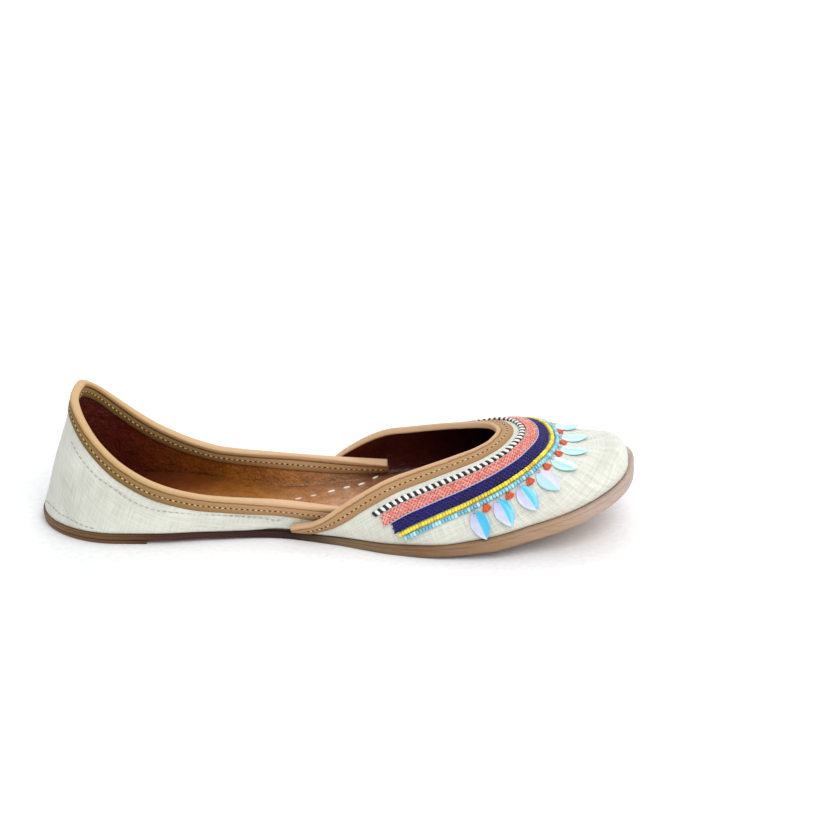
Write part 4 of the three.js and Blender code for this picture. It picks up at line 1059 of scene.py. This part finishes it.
def chain_stitches(name, row, rise, material, seed):
    """Rows of chain stitch: each link is two strands that open like a V."""
    start, stop = row_places[row]
    end = row_end(stop)
    across = np.linspace(-end, end, 1201)
    spacing = (stop - start) / CHAIN_ROWS
    parts = []
    for k in range(CHAIN_ROWS):
        for leg in (-1, 1):
            run = start + (k + 0.5) * spacing + leg * 0.2 * spacing
            path = trail(vamp_skin, across, run, rise)
            points, normals, tangents = paced(*path, CHAIN_LINK, 0.5 * (k % 2), 0.3)
            sides = np.cross(normals, tangents)
            slant = CHAIN_SPREAD * leg
            parts.append((points, normals, tangents * math.cos(slant) - sides * math.sin(slant)))
    return lay(name, "grain", several(parts), (CHAIN_LINK * 1.12, 0.52, 0.6), material, 0.1, seed)


def embroidered_band(dye, ground, strands, seed):
    """A band's ground with its rows of chain stitch."""
    row, slot = f"{dye}_band", f"{dye}_embroidery"
    settle(band_ground(f"{row}_ground", row, BAND_RISE, ground), slot, row)
    settle(chain_stitches(f"{dye}_chain_stitches", row, STITCH_RISE, strands, seed), slot, row)


def striped_cord():
    """A cord worked over in satin stitch: slanted blocks, black and white by turns."""
    start, stop = row_places["striped_cord"]
    end = row_end(stop)
    path = trail(vamp_skin, np.linspace(-end, end, 2401), (start + stop) / 2, CORD_RISE)
    blocks = (
        ("cord_blocks_white", 0.5, WHITE_PROUD, WHITE_SATIN, 41),
        ("cord_blocks_black", 0.0, 0.0, BLACK_SATIN, 43),
    )
    for name, phase, rise, satin, seed in blocks:
        points, normals, tangents = paced(*path, CORD_PITCH, phase, 0.8)
        sides = np.cross(normals, tangents)
        headings = unit(sides - CORD_SLANT * tangents)
        spots = (points + rise * normals, normals, headings)
        piece = lay(name, "grain", spots, CORD_BLOCK, satin, 0.05, seed)
        settle(piece, "striped_cord", "striped_cord")


def silver_line():
    """The thin bright thread between the two bands."""
    run = row_places["pink_band"][1] + ROW_SPACE / 2
    end = row_end(row_places["navy_band"][1])
    across = np.linspace(-end, end, 900)
    rings, uvs = tube(*trail(vamp_skin, across, run, 1.05), 0.3, 0.3, 8)
    points, faces = sweep(rings)
    piece = make_piece("silver_thread", points, faces, SILVER, uvs)
    weld(piece)
    settle(piece, "pink_embroidery")


def bead_row(name, row, pitch, material, seed, slot_name):
    """Seed beads strung along the row, each with its hole along the thread."""
    start, stop = row_places[row]
    middle = (start + stop) / 2
    end = row_end(stop)
    across = np.linspace(-end, end, 1601)
    path = trail(vamp_skin, across, middle, STRAND_RISE)
    points, normals, tangents = paced(*path, pitch, margin=0.6)
    beads = lay(name, "bead", (points, tangents, normals), BEAD_SIZE, material, 0.07, seed)
    settle(beads, slot_name, row)
    rings, uvs = tube(*trail(vamp_skin, across[::4], middle, STRAND_RISE), 0.22, 0.22, 6)
    points, faces = sweep(rings)
    string = make_piece(f"{name}_thread", points, faces, BEAD_THREAD, uvs)
    weld(string)
    settle(string, slot_name)


striped_cord()
embroidered_band("pink", PINK_GROUND, PINK_THREAD, 5)
silver_line()
embroidered_band("navy", NAVY_GROUND, NAVY_THREAD, 7)
bead_row("yellow_beads", "yellow_bead_row", 1.35, YELLOW_GLASS, 11, "yellow_beads")
bead_row("blue_beads", "blue_bead_row", 1.45, BLUE_GLASS, 13, "blue_beads")


# Leaf sequins

LEAF_SEARCH, LEAF_SEARCH_STEPS = 0.1, 40
LEAF_PLATE = 0.22
LEAF_HOLE = (0.87, 0.42)  # share of the length, radius


def leaf_places():
    """Where each leaf's stem meets the bead row, from the near side to the far one."""
    run = ROWS_END + LEAF_SPACE
    end = row_end(ROWS_END)
    across = np.linspace(-end, end, 1601)
    points = vamp_skin.at(across, run)
    runs = np.concatenate([[0], np.cumsum(np.linalg.norm(np.diff(points, axis=0), axis=1))])
    away = (np.arange(LEAF_COUNT) - (LEAF_COUNT - 1) / 2) * LEAF_PITCH
    return np.interp(runs[-1] / 2 + away, runs, across), run


def leaf_frame(across, run):
    """Origin at the stem, and the leaf's directions: along, aside and up."""
    step = LEAF_SEARCH / LEAF_SEARCH_STEPS
    stem = vamp_skin.at(across, run)
    row = vamp_skin.at(across + step, run) - vamp_skin.at(across - step, run)
    aim = stem + unit(np.cross(row, vamp_skin.normal(across, run))) * LEAF_LENGTH / 2
    spots = across + np.linspace(-LEAF_SEARCH, LEAF_SEARCH, LEAF_SEARCH_STEPS + 1)
    half_way = run + LEAF_LENGTH / 2
    under = spots[np.argmin(np.linalg.norm(vamp_skin.at(spots, half_way) - aim, axis=1))]
    up = vamp_skin.normal(under, half_way)
    middle = vamp_skin.at(under, half_way, LEAF_HEIGHT)
    aside = unit(np.cross(up, middle - stem))
    along = np.cross(aside, up)
    tilt = math.radians(LEAF_TILT)
    along, up = along * math.cos(tilt) + up * math.sin(tilt), up * math.cos(tilt) - along * math.sin(tilt)
    return middle - along * LEAF_LENGTH / 2, along, aside, up


def leaf_half(t):
    inside = np.clip(t, 1e-4, 1 - 1e-4)
    return LEAF_WIDTH / 2 * np.sin(np.pi * inside ** LEAF_LEAN) ** LEAF_FULLNESS


def leaf_sequin(number, across, run, material):
    """A plate folded along its middle, dished a little on each side, with a hole near its tip."""
    origin, along, aside, up = leaf_frame(across, run)
    t = (1 - np.cos(np.linspace(0, np.pi, 33))) / 2
    s = np.linspace(-1, 1, 17)
    half = leaf_half(t)
    half[[0, -1]] = 0.12
    wide = half[:, None] * s[None]
    fold = LEAF_FOLD * (1 - (np.abs(wide) / (LEAF_WIDTH / 2)))
    dish = -0.28 * np.sin(np.pi * np.abs(s))[None] * (half[:, None] / (LEAF_WIDTH / 2))
    height = fold + dish + 0.1
    flat = np.stack([np.broadcast_to((t * LEAF_LENGTH)[:, None], wide.shape), wide], -1)
    hole_at = np.array([LEAF_HOLE[0] * LEAF_LENGTH, 0.0])
    away = np.linalg.norm(flat - hole_at, axis=-1)
    height = height - 0.3 * np.exp(-((away / LEAF_HOLE[1]) ** 2))
    top = origin + flat[..., :1] * along + flat[..., 1:] * aside + height[..., None] * up
    low = top - up * LEAF_PLATE
    points, faces = shell(top.transpose(1, 0, 2)[::-1], low.transpose(1, 0, 2)[::-1])
    uvs = np.tile(flat.transpose(1, 0, 2)[::-1].reshape(-1, 2), (2, 1))
    piece = make_piece(f"leaf_film_{number:02d}", points, faces, material, uvs)
    weld(piece)
    settle(piece, "sequin_film", f"leaf_sequin_{number:02d}")
    rim = np.array([LEAF_HOLE[0] * LEAF_LENGTH, 0.0, LEAF_FOLD - 0.08])
    return origin, along, aside, up, rim


leaf_across, leaf_run = leaf_places()
# Colour of each leaf by its place from the nearer end, a painted reflection of the pearl film: cool ones at
# the sides, pale ones on top
FILMS = {
    "blue": sequin_film("Pearl sequin film, blue and lilac", ("#b9b6dc", "#d4dcf0"), ("#1fb4dc", "#4fb8e0"),
                        "#bfe9ee"),
    "rose": sequin_film("Pearl sequin film, rose and ice", ("#bcdcec", "#b4dcea"), ("#dcc8e0", "#c8d6ec"),
                        "#86cfdc"),
    "ice": sequin_film("Pearl sequin film, ice", ("#c3e4ea", "#a9dae4"), ("#e2f4f4", "#d2eef1"), "#6fc9d6"),
}
LEAF_FILMS = ["blue", "blue", "blue", "rose", "ice", "ice"]
leaves = []
for i, place in enumerate(leaf_across):
    film = FILMS[LEAF_FILMS[min(i, LEAF_COUNT - 1 - i)]]
    leaves.append(leaf_sequin(i + 1, place, leaf_run, film))


def leaf_fixings():
    """A clear bead at each stem, and the pierced hole near each tip."""
    stems, tips = [], []
    for origin, along, _, up, rim in leaves:
        stems.append((origin + along * 0.7 + up * 1.1, up, along))
        tips.append((origin + along * rim[0] + up * (rim[2] - 0.18), up, along))
    stems, tips = [[np.array(column) for column in zip(*rows)] for rows in (stems, tips)]
    settle(lay("stem_beads", "bead", stems, (1.3, 1.7, 1.7), CLEAR_GLASS, 0.05, 17), "blue_beads")
    # The tip holes are dark marks of painted shade
    settle(lay("tip_holes", "grain", tips, (0.75, 0.6, 0.16), HOLE, 0.05, 19), "sequin_film")


leaf_fixings()

KNOT_STRANDS = 7


def orange_knots():
    """A wedge of orange thread between each two leaves, its strands drawn together at one end."""
    parts = []
    run = ROWS_END + 0.9
    generator = np.random.default_rng(7)
    for a, b in zip(leaf_across[:-1], leaf_across[1:]):
        middle = (a + b) / 2
        spread_side = 1.15
        for k in range(KNOT_STRANDS):
            share = k / (KNOT_STRANDS - 1) - 0.5
            across = middle + (b - a) * 0.2 * share
            reach = run + 0.35 + 0.9 * (0.5 - abs(share)) + generator.uniform(-0.1, 0.1)
            point, normal = trail(vamp_skin, across, reach, 0.55 + 0.5 * (0.5 - abs(share)))
            ahead = vamp_skin.at(across + 0.004, reach) - vamp_skin.at(across - 0.004, reach)
            down = unit(np.cross(unit(ahead), normal))
            heading = unit(down + unit(ahead) * share * spread_side)
            parts.append((point[None], normal[None], heading[None]))
    piece = lay("orange_knots", "grain", several(parts), (3.6, 0.95, 1.0), ORANGE_THREAD, 0.1, 23)
    settle(piece, "sequin_film")


orange_knots()


# Sole

def slab(profile, half, start, stop, count=241):
    """A body with the sole's plan from rings of (inset, level function), lowest first."""
    t = np.linspace(0, 1, count)
    loops = []
    for inset, level in profile:
        x = mix(start + inset, stop - inset, (1 - np.cos(t * np.pi)) / 2)
        y = half(x, inset)
        y[[0, -1]] = 0
        near = np.stack([x, -y, level(x)], 1)
        far = np.stack([x, y, level(x)], 1)[-2:0:-1]
        loops.append(np.concatenate([near, far]))
    loops = np.stack(loops, 0)
    around = loops.shape[1]
    faces = []
    for k in range(len(profile) - 1):
        i = np.arange(around)
        a, b = k * around + i, k * around + (i + 1) % around
        faces += list(np.stack([a, b, b + around, a + around], 1))
    for level, flip in ((0, False), (len(profile) - 1, True)):
        base = level * around
        for i in range(count - 1):
            a, b = i, i + 1
            c, d = (around - b) % around, (around - a) % around
            corners = [base + v for v in dict.fromkeys((a, d, c, b))]
            faces.append(tuple(corners[::-1] if flip else corners))
    return loops.reshape(-1, 3), faces


def sole_pieces():
    """The outsole with a grooved edge, and the heel lift under it."""
    bottom, thick = sole_bottom, sole_thickness
    # Share of the thickness, inset in millimetres: bevel, belly, groove under the light top ridge
    edge = [(0.0, 2.2), (0.0, 0.7), (0.06, 0.25), (0.16, 0.05), (0.45, 0.0), (0.66, 0.05), (0.72, 0.28),
            (0.76, 0.3), (0.8, 0.08), (0.9, 0.06), (0.97, 0.2), (1.0, 0.5), (1.0, 2.2)]
    profile = [(inset, lambda x, s=share: bottom(x) + thick(x) * s) for share, inset in edge]
    points, faces = slab(profile, plan_half, 0, LENGTH)
    sole = make_piece("outsole_leather", points, faces, EDGE, materials=[EDGE, TREAD_SIDE])
    weld(sole)
    for face in sole.data.polygons:
        face.use_smooth = True
        face.material_index = 1 if face.normal.z < -0.8 else 0
    settle(sole, "sole_leather", "outsole")

    t = np.linspace(0, 1, 61)
    x = mix(LIFT_LENGTH, LIFT_INSET, np.sin(t * np.pi / 2))
    half = plan_half(x, LIFT_INSET)
    half[-1] = 0
    curve = np.linspace(-1, 1, 21)[1:-1]
    front = np.stack([LIFT_LENGTH - LIFT_HOLLOW * (1 - curve ** 2), curve * half[0]], 1)
    near = np.stack([x, -half], 1)[::-1]
    far = np.stack([x, half], 1)[:-1]
    outline = np.concatenate([far, near[0:1], near[1:], front])
    centre = outline.mean(axis=0)
    loops = []
    for level, inset in ((0.0, 0.5), (0.12, 0.15), (0.5, 0.0), (1.25, 0.0), (LIFT_THICKNESS, 0.15)):
        shrunk = centre + (outline - centre) * (1 - inset / 28)
        loops.append(np.concatenate([shrunk, np.full((len(shrunk), 1), level)], 1))
    points, faces = sweep(np.stack(loops))
    lift = make_piece("heel_lift_leather", points, faces, EDGE, materials=[EDGE, TREAD_SIDE])
    weld(lift)
    for face in lift.data.polygons:
        face.material_index = 1 if face.normal.z < -0.8 else 0
    settle(lift, "sole_leather", "heel_lift")


def insole():
    """A soft leather insole with rounded edges and a shallow heel seat."""
    def inset_at(x):
        flaps = tucked(x) * (1 - ramp(x, FLAP_END, FLAP_END + INSOLE_EASE))
        return ledge(x) + WALL + INSOLE_ROOM + flaps * (WALL + INSOLE_LEAN_ROOM)

    edge = [(0.0, 0.0), (0.0, 0.6), (0.15, 1.3), (0.7, INSOLE_THICKNESS)]
    start = float(inset_at(np.array(0.0)))
    stop = LENGTH - float(inset_at(np.array(float(LENGTH))))
    profile = [(inset, lambda x, h=rise: foot_level(x) + h) for inset, rise in edge]
    points, faces = slab(profile, lambda x, inset: plan_half(x, inset_at(x) + inset), start, stop)
    piece = make_piece("insole_leather", points, faces, INSOCK)
    weld(piece)
    settle(piece, "lining_leather", "insole")


sole_pieces()
insole()


# Hand stitches

SEAM_CLEARANCE = 1.9  # keeps the seam line off the binding
SEAM_RISE, SEAM_PITCH, SEAM_STITCH = 0.12, 2.5, (1.9, 0.34, 0.3)
SADDLE_RISE, SADDLE_STITCH = 0.15, (3.5, 1.2, 0.9)

# Seam line below the topline binding, and the short line low on the heel: across, run
SEAM_LINE = [
    (0.115, 10.25), (0.166, 10), (0.216, 9.25), (0.27, 8), (0.338, 8.25), (0.38, 8), (0.436, 6.75),
    (0.495, 5.75), (0.579, 5.25), (0.664, 5.5), (0.715, 6.75), (0.74, 5.5),
]
HEEL_LINE = [(0.01, 52.5), (0.136, 43.25), (0.171, 39), (0.218, 34.25), (0.252, 30.75)]


def outer_stitch_lines():
    """Grey running stitches below the topline binding and low on the heel, on both quarters."""
    rows = []
    for table in (SEAM_LINE, HEEL_LINE):
        across = np.linspace(table[0][0], table[-1][0], 601)
        run = through(table)(across) + SEAM_CLEARANCE * (table is SEAM_LINE)
        for side in (-1, 1):
            path = trail(quarter_skin, side * across, run, SEAM_RISE)
            rows.append(paced(*path, SEAM_PITCH, margin=1))
    stitches = lay("grey_running_stitches", "grain", several(rows), SEAM_STITCH, GREY_THREAD, 0.1, 29)
    settle(stitches, "cloth")


# Saddle stitches in the waist, in millimetres from the heel and from the middle
SADDLE_PLACES = [(108.3, 4.1), (114.5, 7.1), (121.8, 11.3), (128.1, 14.8), (134.1, 17.8), (139.7, 24.1)]


def saddle_stitches():
    """White saddle stitches that hold the insole in the waist, slanting out to each side."""
    x, y = np.array(SADDLE_PLACES).T
    heading = unit(np.stack([np.gradient(x), np.gradient(y), 0 * x], 1))
    up = np.tile([0.0, 0.0, 1.0], (len(x), 1))
    parts = []
    for side in (-1, 1):
        flip = np.array([1, side, 1])
        places = np.stack([x, y, foot_level(x) + INSOLE_THICKNESS + SADDLE_RISE], 1)
        parts.append((places * flip, up, heading * flip))
    stitches = lay("white_saddle_stitches", "grain", several(parts), SADDLE_STITCH, WHITE_THREAD, 0.12, 31)
    settle(stitches, "lining_leather")


outer_stitch_lines()
saddle_stitches()


# Room, light and camera

def pale_floor():
    """A wide sheet of white paper."""
    mesh = bpy.data.meshes.new("floor")
    size = 3.0
    corners = [(-size, -size, 0), (size, -size, 0), (size, size, 0), (-size, size, 0)]
    mesh.from_pydata(corners, [], [(0, 1, 2, 3)])
    mesh.materials.append(PAPER)
    floor = bpy.data.objects.new("floor", mesh)
    bpy.context.scene.collection.objects.link(floor)


def area_light(name, place, aim, size, power, tint="#ffffff"):
    data = bpy.data.lights.new(name, "AREA")
    data.size = size
    data.energy = power
    data.color = colour(tint)[:3]
    light = bpy.data.objects.new(name, data)
    light.location = place
    light.rotation_mode = "QUATERNION"
    light.rotation_quaternion = (Vector(aim) - Vector(place)).to_track_quat("-Z", "Y")
    bpy.context.scene.collection.objects.link(light)


def studio():
    """Soft light from all sides, a little stronger from the toe's side, and plain display of colours."""
    bpy.context.scene.view_settings.view_transform = "Standard"
    world = bpy.data.worlds.new("Soft room")
    world.use_nodes = True
    background = world.node_tree.nodes["Background"]
    background.inputs["Color"].default_value = colour("#f6f8fb")
    background.inputs["Strength"].default_value = 0.78
    bpy.context.scene.world = world
    area_light("Key", (0.35, -0.75, 0.95), (0, 0, 0.02), 0.7, 6.5)
    area_light("Fill", (0.85, -0.1, 0.7), (0, 0, 0.02), 0.9, 2.2)
    area_light("Back", (0.1, 0.8, 0.8), (0, 0, 0.03), 0.8, 3.4)


def photo_camera():
    """The camera where the photograph was taken from."""
    azimuth, elevation, roll = [math.radians(v) for v in (CAMERA_AZIMUTH, CAMERA_ELEVATION, CAMERA_ROLL)]
    back = Vector((math.sin(azimuth) * math.cos(elevation), -math.cos(azimuth) * math.cos(elevation),
                   math.sin(elevation)))
    right = Vector((math.cos(azimuth), math.sin(azimuth), 0))
    up = back.cross(right)
    level = Matrix((right * math.cos(roll) + up * math.sin(roll),
                    up * math.cos(roll) - right * math.sin(roll), back)).transposed()
    data = bpy.data.cameras.new("photo camera")
    data.sensor_width = SENSOR
    data.lens = CAMERA_FOCAL_PIXELS / PHOTO_PIXELS * SENSOR
    data.clip_start, data.clip_end = 0.05, 20
    camera = bpy.data.objects.new("photo camera", data)
    camera.matrix_world = Matrix.Translation(
        Vector(CAMERA_TARGET) * MM + back * CAMERA_DISTANCE * MM) @ level.to_4x4()
    bpy.context.scene.collection.objects.link(camera)
    bpy.context.scene.camera = camera


pale_floor()
studio()
photo_camera()
